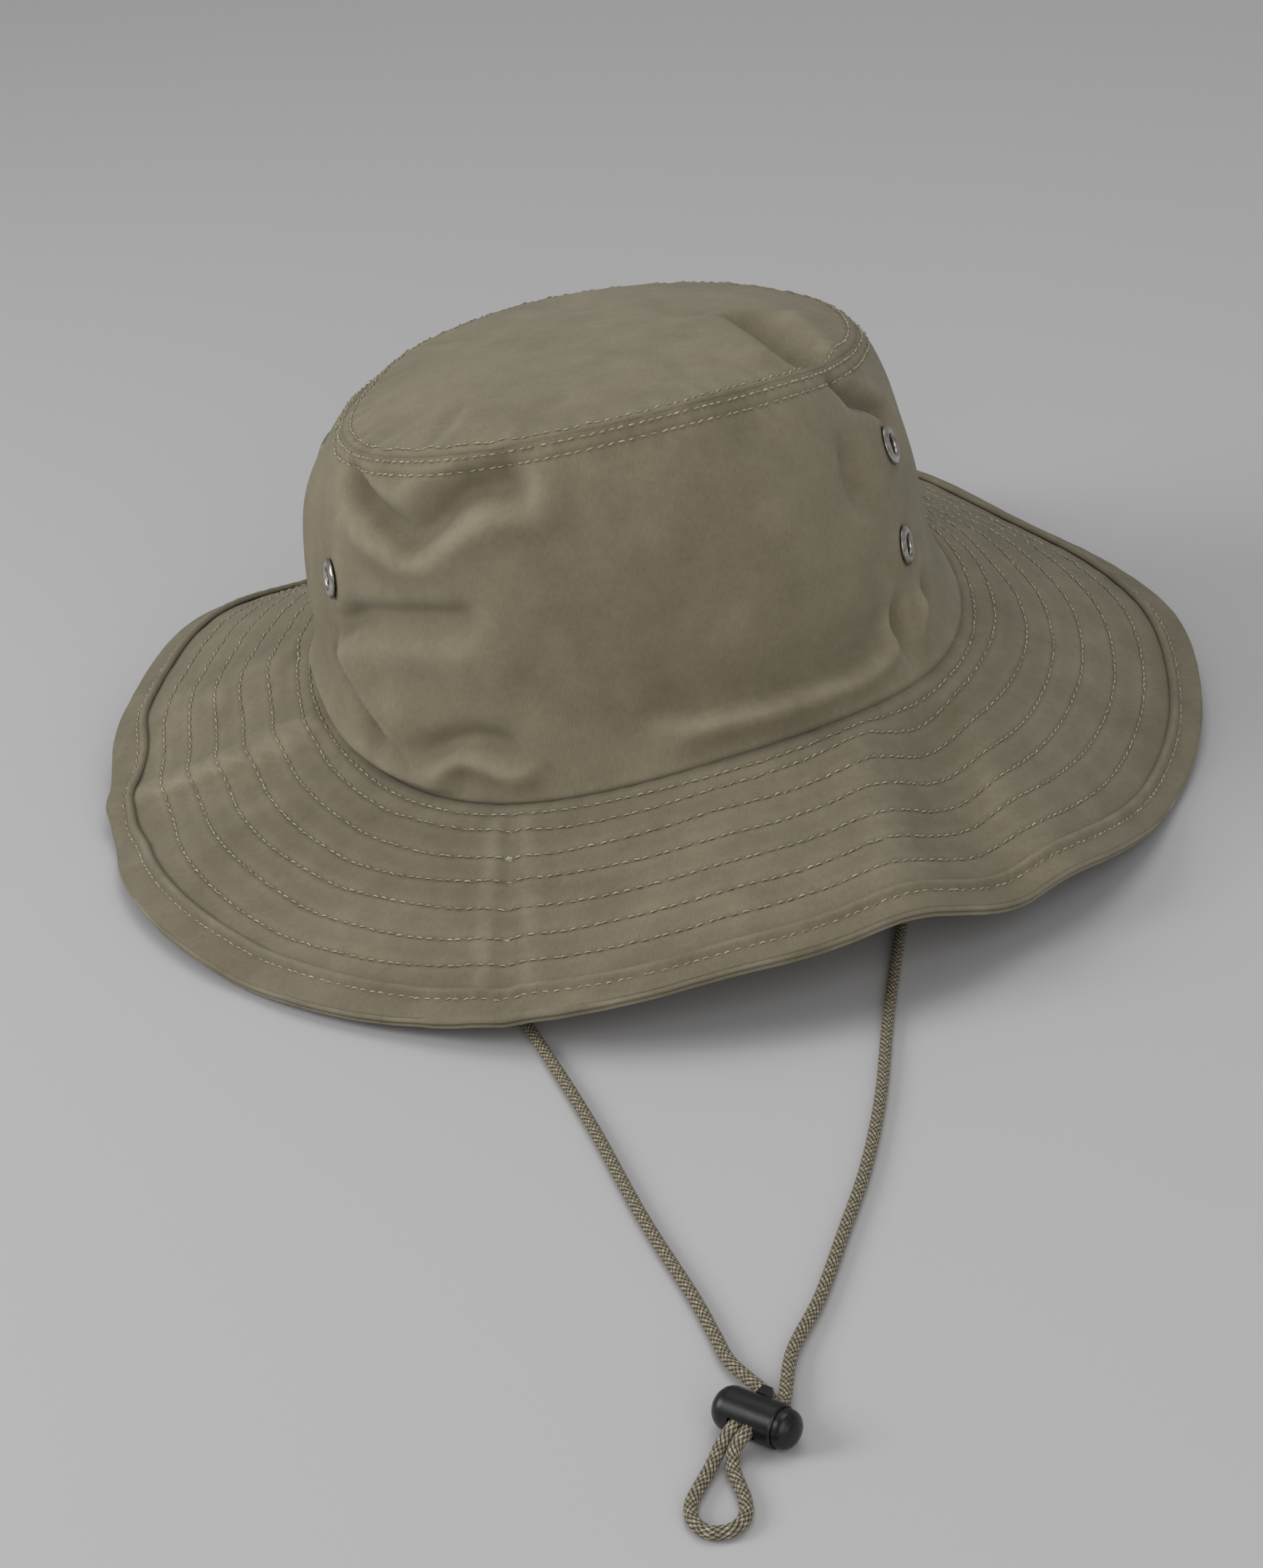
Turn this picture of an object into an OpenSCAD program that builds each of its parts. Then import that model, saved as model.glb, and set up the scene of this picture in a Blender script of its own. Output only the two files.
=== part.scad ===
// Soft cotton sun hat: round crown with a flat tip, wide quilted brim with a bound edge,
// two vent eyelets on each side and a chin cord with a spring cord lock lying in front.
// Millimetres, +Z up. The hat rests on its brim edge at Z = 0 and its front faces -Y.

/* [Overall size] */
// Head opening, measured round the seam between crown and brim
head_round = 592; // [540:2:640]
// Brim width from the crown seam to the bound edge
brim_width = 76; // [55:1:90]
// Height of the crown wall above the brim seam, at the middle
crown_height = 83; // [65:1:110]
// Height of the domed tip over its own seam
tip_rise = 11; // [2:1:18]

/* [Cloth] */
// Thickness of one ply of washed twill
ply = 0.7; // [0.5:0.05:1.1]
// Thickness of the stiffener between the two brim plies
stiffener = 0.5; // [0.3:0.05:0.9]
// Width of the folded binding on the brim edge
binding_width = 11; // [7:0.5:14]
// Width of the sweatband inside the crown
sweatband_width = 25; // [16:1:28]

/* [Vent eyelets] */
// Outside diameter of the eyelet flange
eyelet_diameter = 11.5; // [9:0.5:13]
// Diameter of the open eyelet hole
eyelet_hole = 6; // [4:0.25:6.5]

/* [Chin cord and lock] */
// Diameter of the braided chin cord
cord_diameter = 3.2; // [2.6:0.1:3.6]
// Length of the cord lock from end to end
lock_length = 22; // [20:0.5:26]
// Outside diameter of the cord lock barrel
lock_diameter = 10.4; // [9.6:0.1:11.5]
// How far the button of the lock presses in
button_travel = 2.8; // [2:0.1:2.9]

/* [Hidden] */
gap = 0.15;
around = 72;
step = 360 / around;
angles = [for (i = [0:around - 1]) i * step];

// Directions are angles from the front of the hat, growing towards its right as worn side (+X).
function outward(t) = [sin(t), -cos(t), 0];
function oval(a, b, turn, t) =
    a * b / sqrt(pow(b * cos(t - turn), 2) + pow(a * sin(t - turn), 2));
function turned(t) = abs((t + 540) % 360 - 180);
function smooth(x) = let (s = max(0, min(1, x))) s * s * (3 - 2 * s);

// Seam between crown and brim: nearly round, gently waved in height.
seam_mean = head_round / 2 / PI;
function seam_radius(t) = oval(seam_mean * 1.01, seam_mean * 0.99, -20, t);
function seam_wave(t) =
    -2.1 * cos(t) + 3.5 * sin(t) - 1.6 * cos(2 * t) + 1.6 * sin(2 * t)
    + 3.6 * cos(3 * t) + 3.4 * sin(3 * t);

// Slope of the brim below the level, in radians: a soft brim droops more at the sides.
function front_share(t) = smooth((180 - turned(t)) / 70);
function droop(t) = (180 / PI) * (
    0.438 - 0.106 * cos(t) + 0.013 * sin(t) - 0.020 * cos(2 * t) + 0.019 * sin(2 * t)
    - 0.039 * cos(3 * t) - 0.031 * sin(3 * t) + 0.002 * cos(4 * t) + 0.008 * sin(4 * t)
    + front_share(t) * (0.027 * cos(5 * t) - 0.061 * sin(5 * t)
    - 0.012 * cos(6 * t) + 0.027 * sin(6 * t))
    - 0.21 * (1 - front_share(t)));

// A place on the brim: u outwards along the slope, h above its top face, before it is set down.
function raw_brim(t, u, h) =
    let (p = droop(t))
    outward(t) * (seam_radius(t) + u * cos(p) + h * sin(p))
    + [0, 0, seam_wave(t) - u * sin(p) + h * cos(p)];
brim_thick = 2 * ply + stiffener + 2 * gap;
fold = ply + gap;
edge_low = [for (t = angles) raw_brim(t, brim_width - 1.4, -brim_thick - fold)];
edge_out = [for (t = angles) raw_brim(t, brim_width, -brim_thick / 2)];
function middle(k) = (max([for (p = edge_out) p[k]]) + min([for (p = edge_out) p[k]])) / 2;
set_down = [-middle(0), -middle(1), -min([for (p = edge_low) p[2]])];
function brim_at(t, u, h) = raw_brim(t, u, h) + set_down;

// Seam between the crown wall and the tip: an oval leaning back a little.
turn_down = 7;
tip_scale = seam_mean / 94;
tip_middle = [-4.2, 0.9, crown_height];
function tip_radius(t) = tip_scale * oval(84.3, 68.4, -33, t);
function tip_wave(t, f) =
    f * (10.2 * cos(t) + 2.2 * sin(t)) + f * f * (3.3 * cos(2 * t) + 1.9 * sin(2 * t))
    + f * f * f * (0.8 * cos(3 * t) - 0.5 * sin(3 * t));
function tip_at(t, f, inset, h) =
    tip_middle + set_down + outward(t) * (f * tip_radius(t) - inset)
    + [0, 0, tip_wave(t, f) + tip_rise * (1 - f * f) + h];

// The crown wall, v from 0 at the brim seam to 1 at the tip seam, h outwards.
function wall_swell(t, v) =
    1.6 * (1 - sin(t)) * sin(180 * pow(v, 1.7)) - 4.2 * (1 + sin(t)) * sin(180 * pow(v, 0.75));
function wall_at(t, v, h) =
    let (low = brim_at(t, 0, 0), high = tip_at(t, 1, 0, 0), lean = v * v * v)
    [low[0] + (high[0] - low[0]) * lean, low[1] + (high[1] - low[1]) * lean,
     low[2] + (high[2] - low[2]) * v] + outward(t) * (wall_swell(t, v) + h);

// Closed ring of cloth: every row is the same closed profile, one row per direction. The
// return half of a profile splits its cells the other way, so facing plies stay parallel.
module ring_of_cloth(rows) {
    n = len(rows);
    m = len(rows[0]);
    points = [for (row = rows) for (p = row) p];
    faces = [for (i = [0:n - 1]) for (j = [0:m - 1])
        let (i2 = (i + 1) % n, j2 = (j + 1) % m,
             a = i * m + j, b = i * m + j2, c = i2 * m + j2, d = i2 * m + j)
        each j < m / 2 ? [[a, b, c], [a, c, d]] : [[a, b, d], [b, c, d]]];
    polyhedron(points, faces, convexity = 8);
}

// Closed cap: every row runs from the shared top point to the shared bottom point.
module cap_of_cloth(top, rows, bottom) {
    n = len(rows);
    m = len(rows[0]);
    points = concat([top, bottom], [for (row = rows) for (p = row) p]);
    sides = [for (i = [0:n - 1]) for (j = [0:m - 2])
        let (i2 = (i + 1) % n, a = 2 + i * m + j, b = 2 + i2 * m + j)
        each [[a, a + 1, b + 1], [a, b + 1, b]]];
    lids = [for (i = [0:n - 1])
        let (i2 = (i + 1) % n)
        each [[0, 2 + i * m, 2 + i2 * m], [1, 2 + i2 * m + m - 1, 2 + i * m + m - 1]]];
    polyhedron(points, concat(sides, lids), convexity = 8);
}

cloth = [0.50, 0.47, 0.38];
steel = [0.72, 0.72, 0.70];
black = [0.06, 0.06, 0.06];

// Top panel of the crown, with its seam allowance turned down inside the wall.
module crown_tip() {
    inside = ply + gap;
    top_steps = [0.25, 0.5, 0.75, 0.92];
    color(cloth)
    cap_of_cloth(
        tip_at(0, 0, 0, 0),
        [for (t = angles) concat(
            [for (f = top_steps) tip_at(t, f, 0, 0)],
            [tip_at(t, 1, 0, 0), tip_at(t, 1, 0, -ply), tip_at(t, 1, inside, -ply - gap),
             wall_at(t, 1 - turn_down / crown_height, -inside),
             wall_at(t, 1 - turn_down / crown_height, -inside - ply),
             tip_at(t, 1, inside + ply, -2 * ply)],
            [for (f = [0.92, 0.75, 0.5, 0.25]) tip_at(t, f, 0, -ply)])],
        tip_at(0, 0, 0, -ply));
}

// Upright side panel of the crown, one strip joined to a ring, with holes for the eyelets.
wall_steps = [0, 0.12, 0.25, 0.4, 0.55, 0.7, 0.8, 0.9, 0.96];
wall_top = 1 - (ply + gap) / crown_height;
module crown_wall() {
    levels = concat(wall_steps, [wall_top]);
    count = len(levels);
    color(cloth)
    difference() {
        ring_of_cloth([for (t = angles) concat(
            [for (v = levels) wall_at(t, v, -ply)],
            [for (k = [1:count]) wall_at(t, levels[count - k], 0)])]);
        for (place = eyelet_places)
            on_wall(place) cylinder(d = eyelet_hole + 1.8, h = 12, center = true, $fn = 24);
    }
}

// Band of soft tape sewn inside the head opening.
module sweatband() {
    inset = ply + gap;
    share = sweatband_width / crown_height;
    levels = [0.01, share * 0.35, share * 0.7, share];
    color(cloth * 0.8)
    ring_of_cloth([for (t = angles) concat(
        [for (v = levels) wall_at(t, v, -inset - ply)],
        [for (k = [1:4]) wall_at(t, levels[4 - k], -inset)])]);
}

// One flat ply of the brim between two depths below the top face.
module brim_ply(high, low) {
    steps = [0.4, 20, 40, 60, 74] * (brim_width / 76);
    color(cloth)
    ring_of_cloth([for (t = angles) concat(
        [for (u = steps) brim_at(t, u, high)],
        [for (k = [1:5]) brim_at(t, steps[5 - k], low)])]);
}

module brim_top() {
    brim_ply(0, -ply);
}

module brim_stiffener() {
    brim_ply(-ply - gap, -ply - gap - stiffener);
}

module brim_under() {
    brim_ply(-ply - 2 * gap - stiffener, -brim_thick);
}

// Folded strip of the same cloth wrapped round the brim edge, its turned-in edges outside.
module brim_binding() {
    in_u = brim_width - binding_width;
    ply_end = brim_width * 74 / 76;
    color(cloth)
    ring_of_cloth([for (t = angles) [
        brim_at(t, in_u, gap),
        brim_at(t, in_u, fold),
        brim_at(t, in_u + 2.4, fold + 0.5),
        brim_at(t, in_u + 3.4, fold),
        brim_at(t, brim_width - 1.4, fold),
        brim_at(t, brim_width, -0.2),
        brim_at(t, brim_width, -brim_thick + 0.2),
        brim_at(t, brim_width - 1.4, -brim_thick - fold),
        brim_at(t, in_u, -brim_thick - fold),
        brim_at(t, in_u, -brim_thick - gap),
        brim_at(t, ply_end + gap, -brim_thick - gap),
        brim_at(t, ply_end + gap, gap)]]);
}

// Vent eyelets: [direction, share of the wall height], left pair then right pair. The upper
// ones clear the turned-down tip seam, and the lowest one clears the sweatband.
under_seam = 1 - (turn_down + eyelet_diameter / 2 + 12) / crown_height;
over_band = (sweatband_width + eyelet_diameter / 2 + 1.6) / crown_height;
eyelet_places = [[-63, 0.59], [-107, under_seam], [63, over_band], [69, under_seam]];
function wall_normal(t, v) =
    let (a = wall_at(t - 3, v, 0), b = wall_at(t + 3, v, 0),
         c = wall_at(t, v - 0.04, 0), d = wall_at(t, v + 0.04, 0),
         n = cross(b - a, d - c))
    n / norm(n);
module on_wall(place) {
    n = wall_normal(place[0], place[1]);
    translate(wall_at(place[0], place[1], 0))
        rotate([0, acos(n[2]), atan2(n[1], n[0])])
            children();
}

// Rolled metal eyelet: a flange outside the cloth and a barrel down through it.
module eyelet(place) {
    r = eyelet_hole / 2;
    color(steel)
    on_wall(place)
    rotate_extrude($fn = 32)
    polygon([[r, -2.4], [r + 0.55, -2.4], [r + 0.55, 0.5], [eyelet_diameter / 2, 0.5],
             [eyelet_diameter / 2, 0.9], [eyelet_diameter / 2 - 1, 1.5], [r + 0.6, 1.5],
             [r, 0.9]]);
}

// Flat washer the barrel is rolled over, inside the cloth.
module eyelet_washer(place) {
    r = eyelet_hole / 2 + 0.6;
    color(steel)
    on_wall(place)
    translate([0, 0, -1.8])
    rotate_extrude($fn = 32)
    polygon([[r, 0], [eyelet_diameter / 2, 0], [eyelet_diameter / 2, 0.45], [r, 0.45]]);
}

module eyelet_left_lower() {
    eyelet(eyelet_places[0]);
}

module eyelet_left_upper() {
    eyelet(eyelet_places[1]);
}

module eyelet_right_lower() {
    eyelet(eyelet_places[2]);
}

module eyelet_right_upper() {
    eyelet(eyelet_places[3]);
}

module washer_left_lower() {
    eyelet_washer(eyelet_places[0]);
}

module washer_left_upper() {
    eyelet_washer(eyelet_places[1]);
}

module washer_right_lower() {
    eyelet_washer(eyelet_places[2]);
}

module washer_right_upper() {
    eyelet_washer(eyelet_places[3]);
}

// Chin cord: both ends are sewn into tape tabs inside the crown, at its sides. Each strand
// drops to the ground, runs out under the front of the brim and through the lock to the loop.
lock_at = [4.1, -329.4, lock_diameter / 2];
lock_turn = -39.5;
function on_lock(x, y, z) =
    lock_at + [x * cos(lock_turn) - y * sin(lock_turn), x * sin(lock_turn) + y * cos(lock_turn), z];
ground = cord_diameter / 2 + 0.15;
strand = cord_diameter / 2 + 0.15;
slot_middle = -1;
lock_side = lock_diameter / 2;
tab_size = [13, cord_diameter + 2, 10];
function tab_place(t) =
    let (low = wall_at(t, 4.15 / crown_height, 0),
         high = wall_at(t, 13.28 / crown_height, -2 * (ply + gap) - tab_size[1] / 2 - 0.8))
    [high[0], high[1], low[2]];
left_tab = tab_place(-86);
right_tab = tab_place(86);

left_way = [
    left_tab, left_tab - [0, 0, 9], left_tab + [2, -3, -22],
    [left_tab[0] + 5, left_tab[1] - 9, ground + 10], [left_tab[0] + 9, left_tab[1] - 20, ground + 1.2],
    [left_tab[0] + 15, left_tab[1] - 38, ground], [-66, -70, ground],
    [-54, -114, ground], [-40, -158, ground], [-28, -199, ground],
    [-17, -243, ground], [-7, -277, ground], [-3, -293, ground], [0, -305, ground + 0.6],
    on_lock(slot_middle - strand, lock_side + 3.8, -1.6), on_lock(slot_middle - strand, lock_side - 0.2, 0)];
right_way = [
    right_tab, right_tab - [0, 0, 9], right_tab + [-2, -3, -22],
    [right_tab[0] - 2, right_tab[1] - 9, ground + 10], [right_tab[0] - 4, right_tab[1] - 20, ground + 1.2],
    [right_tab[0] - 6, right_tab[1] - 38, ground], [72, -64, ground],
    [59, -122, ground], [51, -164, ground], [45, -201, ground],
    [38, -232, ground], [30, -258, ground], [22, -283, ground],
    [14, -303, ground + 0.6],
    on_lock(slot_middle + strand, lock_side + 3.8, -1.6), on_lock(slot_middle + strand, lock_side - 0.2, 0)];
loop_way = [
    on_lock(slot_middle - strand, 0.2 - lock_side, 0), on_lock(slot_middle - strand, -4.8 - lock_side, -1.8),
    [-7.2, -341, ground + 0.3], [-10.1, -347, ground], [-12.2, -352.5, ground], [-12, -358, ground],
    [-8.9, -362.2, ground], [-3.9, -362, ground], [-0.9, -358, ground], [-0.6, -352.5, ground],
    [-1.5, -347, ground], [-2.3, -341.8, ground + 0.3],
    on_lock(slot_middle + strand, -4.8 - lock_side, -1.8),
    on_lock(slot_middle + strand, 0.2 - lock_side, 0)];
function backwards(v) = [for (i = [1:len(v)]) v[len(v) - i]];
cord_way = concat(left_way, loop_way, backwards(right_way));

// Smooth curve through the way points: one extra ring halfway between two of them.
function halfway(v, i) =
    let (a = v[max(0, i - 1)], b = v[i], c = v[i + 1], d = v[min(len(v) - 1, i + 2)])
    (9 * (b + c) - a - d) / 16;
cord_rings = [for (i = [0:len(cord_way) - 1])
    each i < len(cord_way) - 1 ? [cord_way[i], halfway(cord_way, i)] : [cord_way[i]]];
function cord_heading(v, i) =
    let (d = v[min(len(v) - 1, i + 1)] - v[max(0, i - 1)]) d / norm(d);

// Braided cord as one round tube along its way, eight sided.
module tube_along(way, radius) {
    n = len(way);
    sides = 8;
    points = concat([way[0], way[n - 1]], [for (i = [0:n - 1])
        let (w = cord_heading(way, i), s = cross(w, [0, 0, 1]),
             across = norm(s) < 0.2 ? [0, 1, 0] - w * w[1] : s,
             a = across / norm(across), b = cross(a, w))
        for (k = [0:sides - 1])
            let (q = 360 * (k + 0.5) / sides) way[i] + radius * (a * cos(q) + b * sin(q))]);
    walls = [for (i = [0:n - 2]) for (k = [0:sides - 1])
        let (k2 = (k + 1) % sides, p = 2 + i * sides, q = p + sides)
        each [[p + k, p + k2, q + k2], [p + k, q + k2, q + k]]];
    ends = [for (k = [0:sides - 1])
        let (k2 = (k + 1) % sides, q = 2 + (n - 1) * sides)
        each [[0, 2 + k2, 2 + k], [1, q + k, q + k2]]];
    polyhedron(points, concat(walls, ends), convexity = 10);
}

module chin_cord() {
    color([0.42, 0.40, 0.32])
    tube_along(cord_rings, cord_diameter / 2);
}

// Folded tape sewn over each cord end, against the sweatband.
module cord_tab(t, place) {
    color(cloth * 0.9)
    translate(place + [0, 0, -1])
        rotate([0, 0, t])
            translate([-tab_size[0] / 2, -tab_size[1] / 2, 0])
                difference() {
                    cube(tab_size);
                    translate([tab_size[0] / 2, tab_size[1] / 2, -0.1])
                        cylinder(d = cord_diameter + 0.1, h = 1.1, $fn = 24);
                }
}

module cord_tab_left() {
    cord_tab(-86, left_tab);
}

module cord_tab_right() {
    cord_tab(86, right_tab);
}

// Cord lock: a barrel lying across the two strands, with a button pushed out by a spring.
half = lock_length / 2;
end_depth = 4.2;
running = 0.08;
stem = lock_diameter - 3;
head = lock_diameter - 1.2;
mouth = half - 4.4;
head_start = mouth - 0.8;
slot_low = slot_middle - 2 * strand;
slot_high = slot_middle + 2 * strand;
tail = slot_low - 1.4;
pocket = tail - button_travel - 0.3;
pocket_end = -half + 0.9;
slot_tall = cord_diameter + 0.4;
spring_wire = 0.4;
spring_coil = 2;
module along_lock() {
    translate(lock_at)
        rotate([0, 0, lock_turn])
            rotate([0, 90, 0])
                children();
}

// Window for the strands across the lock, from low to high along it.
module strand_window(low, high) {
    translate([-slot_tall / 2, -lock_diameter, low])
        cube([slot_tall, 2 * lock_diameter, high - low]);
}

module lock_body() {
    r = lock_diameter / 2;
    wide = head / 2 + running;
    narrow = stem / 2 + running;
    step_at = head_start - button_travel - 0.15;
    lug_foot = sqrt(narrow * narrow - (r - 3.1) * (r - 3.1)) + 0.26;
    color(black)
    along_lock()
    difference() {
        union() {
            rotate_extrude($fn = 40)
            polygon(concat(
                [[0, -half]],
                [for (q = [15:15:75]) [r * sin(q), -half + end_depth * (1 - cos(q))]],
                [[r, -half + end_depth], [r, mouth - 0.5], [r - 0.3, mouth], [wide, mouth],
                 [wide, step_at], [narrow, step_at], [narrow, pocket], [2.5, pocket],
                 [2.5, pocket_end], [0, pocket_end]]));
            // Small lug above the window on the far side.
            translate([1 - r, lug_foot, slot_middle - 1.3])
                cube([2.1, r + 1.1 - lug_foot, 2.6]);
        }
        strand_window(slot_low, slot_high);
    }
}

module lock_button() {
    color(black * 1.5)
    along_lock()
    difference() {
        rotate_extrude($fn = 40)
        polygon(concat(
            [[0, tail], [stem / 2, tail], [stem / 2, head_start], [head / 2, head_start]],
            [for (q = [0:15:75]) [head / 2 * cos(q), half - 3.2 + 3.2 * sin(q)]],
            [[0, half]]));
        strand_window(slot_low, slot_high + button_travel);
    }
}

// Coil spring between the closed end of the barrel and the tail of the button.
module lock_spring() {
    low = pocket_end + spring_wire / 2 + 0.05;
    high = tail - spring_wire / 2 - 0.05;
    turns = 3;
    steps = turns * 12;
    color(steel)
    along_lock()
    tube_along([for (i = [0:steps])
        let (q = i * 30)
        [spring_coil * cos(q), spring_coil * sin(q), low + (high - low) * i / steps]],
        spring_wire / 2);
}

crown_tip();
crown_wall();
sweatband();
brim_top();
brim_stiffener();
brim_under();
brim_binding();
eyelet_left_lower();
eyelet_left_upper();
eyelet_right_lower();
eyelet_right_upper();
washer_left_lower();
washer_left_upper();
washer_right_lower();
washer_right_upper();
chin_cord();
cord_tab_left();
cord_tab_right();
lock_body();
lock_button();
lock_spring();
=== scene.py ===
"""Washed cotton sun hat with a quilted brim, vent eyelets and a chin cord, dressed on its CAD frame."""
import bpy
import numpy as np
from mathutils import Matrix, Vector


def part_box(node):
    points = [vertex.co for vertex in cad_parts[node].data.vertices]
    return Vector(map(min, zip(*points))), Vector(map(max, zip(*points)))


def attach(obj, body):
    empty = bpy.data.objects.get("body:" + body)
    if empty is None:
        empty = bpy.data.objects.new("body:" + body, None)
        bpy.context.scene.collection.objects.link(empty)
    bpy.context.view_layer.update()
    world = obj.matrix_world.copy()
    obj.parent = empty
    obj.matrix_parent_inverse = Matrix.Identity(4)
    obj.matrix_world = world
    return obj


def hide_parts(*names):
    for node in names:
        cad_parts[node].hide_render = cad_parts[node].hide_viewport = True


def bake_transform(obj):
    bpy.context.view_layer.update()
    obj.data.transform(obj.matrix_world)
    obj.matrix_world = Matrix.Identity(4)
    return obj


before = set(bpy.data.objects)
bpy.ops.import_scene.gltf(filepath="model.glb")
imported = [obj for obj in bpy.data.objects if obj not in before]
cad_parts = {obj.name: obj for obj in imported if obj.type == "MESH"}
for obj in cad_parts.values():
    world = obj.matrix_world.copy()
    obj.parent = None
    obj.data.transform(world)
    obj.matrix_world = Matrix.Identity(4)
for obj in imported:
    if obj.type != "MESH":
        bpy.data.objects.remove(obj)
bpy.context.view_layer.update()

# --- Camera ------------------------------------------------------------------------------
# A short telephoto lens looks down on the front of the hat. It is rolled a few degrees, so
# the hat's right side stands higher in the frame.
camera_data = bpy.data.cameras.new("studio_camera")
camera_data.lens = 86.87
camera_data.sensor_width = 36.0
camera_data.sensor_height = 36.0
camera_data.clip_start = 0.05
camera_data.clip_end = 40.0
studio_camera = bpy.data.objects.new("studio_camera", camera_data)
camera_place = Vector((-0.00875, -0.9955, 0.5192))
look_down = np.radians(28.0)
roll = np.radians(-6.0)
studio_camera.matrix_world = (
    Matrix.Translation(camera_place)
    @ Matrix.Rotation(np.pi / 2 - look_down, 4, "X")
    @ Matrix.Rotation(roll, 4, "Z"))
bpy.context.scene.collection.objects.link(studio_camera)
bpy.context.scene.camera = studio_camera

# --- Chin cord ---------------------------------------------------------------------------
# One length of round braided polyester cord, 3.2 mm thick. Both ends are sewn into tabs in
# the crown; the strands run under the brim, side by side through the lock, and join in a
# loop. It is three tubes here, split inside the lock.
MM = 0.001
cord_size = 3.2
ground = cord_size / 2 + 0.15
lock_at = np.array([4.1, -329.4, 5.2])
lock_turn = np.radians(-39.5)
strand = cord_size / 2 + 0.15
slot_middle = -1.0
left_tab = np.array([-89.39, -5.38, 44.98])
right_tab = np.array([81.27, -4.92, 46.01])


def on_lock(x, y, z):
    """A place measured along and across the turned lock, from its middle."""
    c, s = np.cos(lock_turn), np.sin(lock_turn)
    return lock_at + [x * c - y * s, x * s + y * c, z]


def smooth_way(points, spacing):
    """Even steps along a Catmull-Rom curve: each span is the cubic that leaves and reaches its
    points parallel to the line between their neighbours."""
    p = np.array(points, float)
    p = np.vstack([p[:1], p, p[-1:]])
    s = np.linspace(0, 1, 24, endpoint=False)[None, :, None]
    a, b, c, d = (p[k:len(p) - 3 + k, None, :] for k in range(4))
    curve = 0.5 * (2 * b + (c - a) * s + (2 * a - 5 * b + 4 * c - d) * s ** 2
                   + (3 * b - a - 3 * c + d) * s ** 3)
    curve = np.vstack([curve.reshape(-1, p.shape[1]), p[-1:]])
    far = np.concatenate([[0], np.cumsum(np.linalg.norm(np.diff(curve, axis=0), axis=1))])
    at = np.linspace(0, far[-1], max(2, int(round(far[-1] / spacing)) + 1))
    return np.stack([np.interp(at, far, curve[:, k]) for k in range(p.shape[1])], 1), at


def unit(v):
    """Vectors shortened to length one."""
    return v / np.maximum(np.linalg.norm(v, axis=-1, keepdims=True), 1e-9)


def grid_quads(rows, columns, rows_close, columns_close):
    """The four corners of every cell of a grid of points numbered row by row."""
    i, j = np.meshgrid(np.arange(rows if rows_close else rows - 1),
                       np.arange(columns if columns_close else columns - 1), indexing="ij")
    i2, j2 = (i + 1) % rows, (j + 1) % columns
    return np.stack([i * columns + j, i2 * columns + j, i2 * columns + j2, i * columns + j2],
                    -1).reshape(-1, 4)


def make_piece(name, points, quads, triangles=(), fields=None, uv=None):
    """A closed mesh from points in millimetres. Its signed volume, the sum of the small
    tetrahedra from the origin to each triangle, says which way its faces are turned."""
    points = np.asarray(points, float).reshape(-1, 3)
    quads = np.asarray(quads, int).reshape(-1, 4)
    triangles = np.asarray(triangles, int).reshape(-1, 3)
    halves = np.vstack([quads[:, [0, 1, 2]], quads[:, [0, 2, 3]], triangles])
    a, b, c = (points[halves[:, k]] for k in range(3))
    if np.einsum("ij,ij->", a, np.cross(b, c)) < 0:
        quads, triangles = quads[:, ::-1], triangles[:, ::-1]
        if uv is not None:
            uv = uv[:, ::-1]
    mesh = bpy.data.meshes.new(name)
    corners = np.concatenate([quads.ravel(), triangles.ravel()])
    starts = np.concatenate([np.arange(len(quads)) * 4,
                             len(quads) * 4 + np.arange(len(triangles)) * 3])
    mesh.vertices.add(len(points))
    mesh.vertices.foreach_set("co", (points * MM).astype(np.float32).ravel())
    mesh.loops.add(len(corners))
    mesh.loops.foreach_set("vertex_index", corners.astype(np.int32))
    mesh.polygons.add(len(starts))
    mesh.polygons.foreach_set("loop_start", starts.astype(np.int32))
    mesh.polygons.foreach_set("use_smooth", np.ones(len(starts), bool))
    if uv is not None:
        layer = mesh.uv_layers.new(name="cloth")
        flat = np.concatenate([uv.reshape(-1, 2), np.zeros((3 * len(triangles), 2))])
        layer.data.foreach_set("uv", flat.astype(np.float32).ravel())
    for field, values in (fields or {}).items():
        mesh.attributes.new(field, "FLOAT", "POINT").data.foreach_set(
            "value", np.asarray(values, np.float32).ravel())
    mesh.update(calc_edges=True)
    mesh.validate()
    piece = bpy.data.objects.new(name, mesh)
    bpy.context.scene.collection.objects.link(piece)
    return piece


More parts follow.
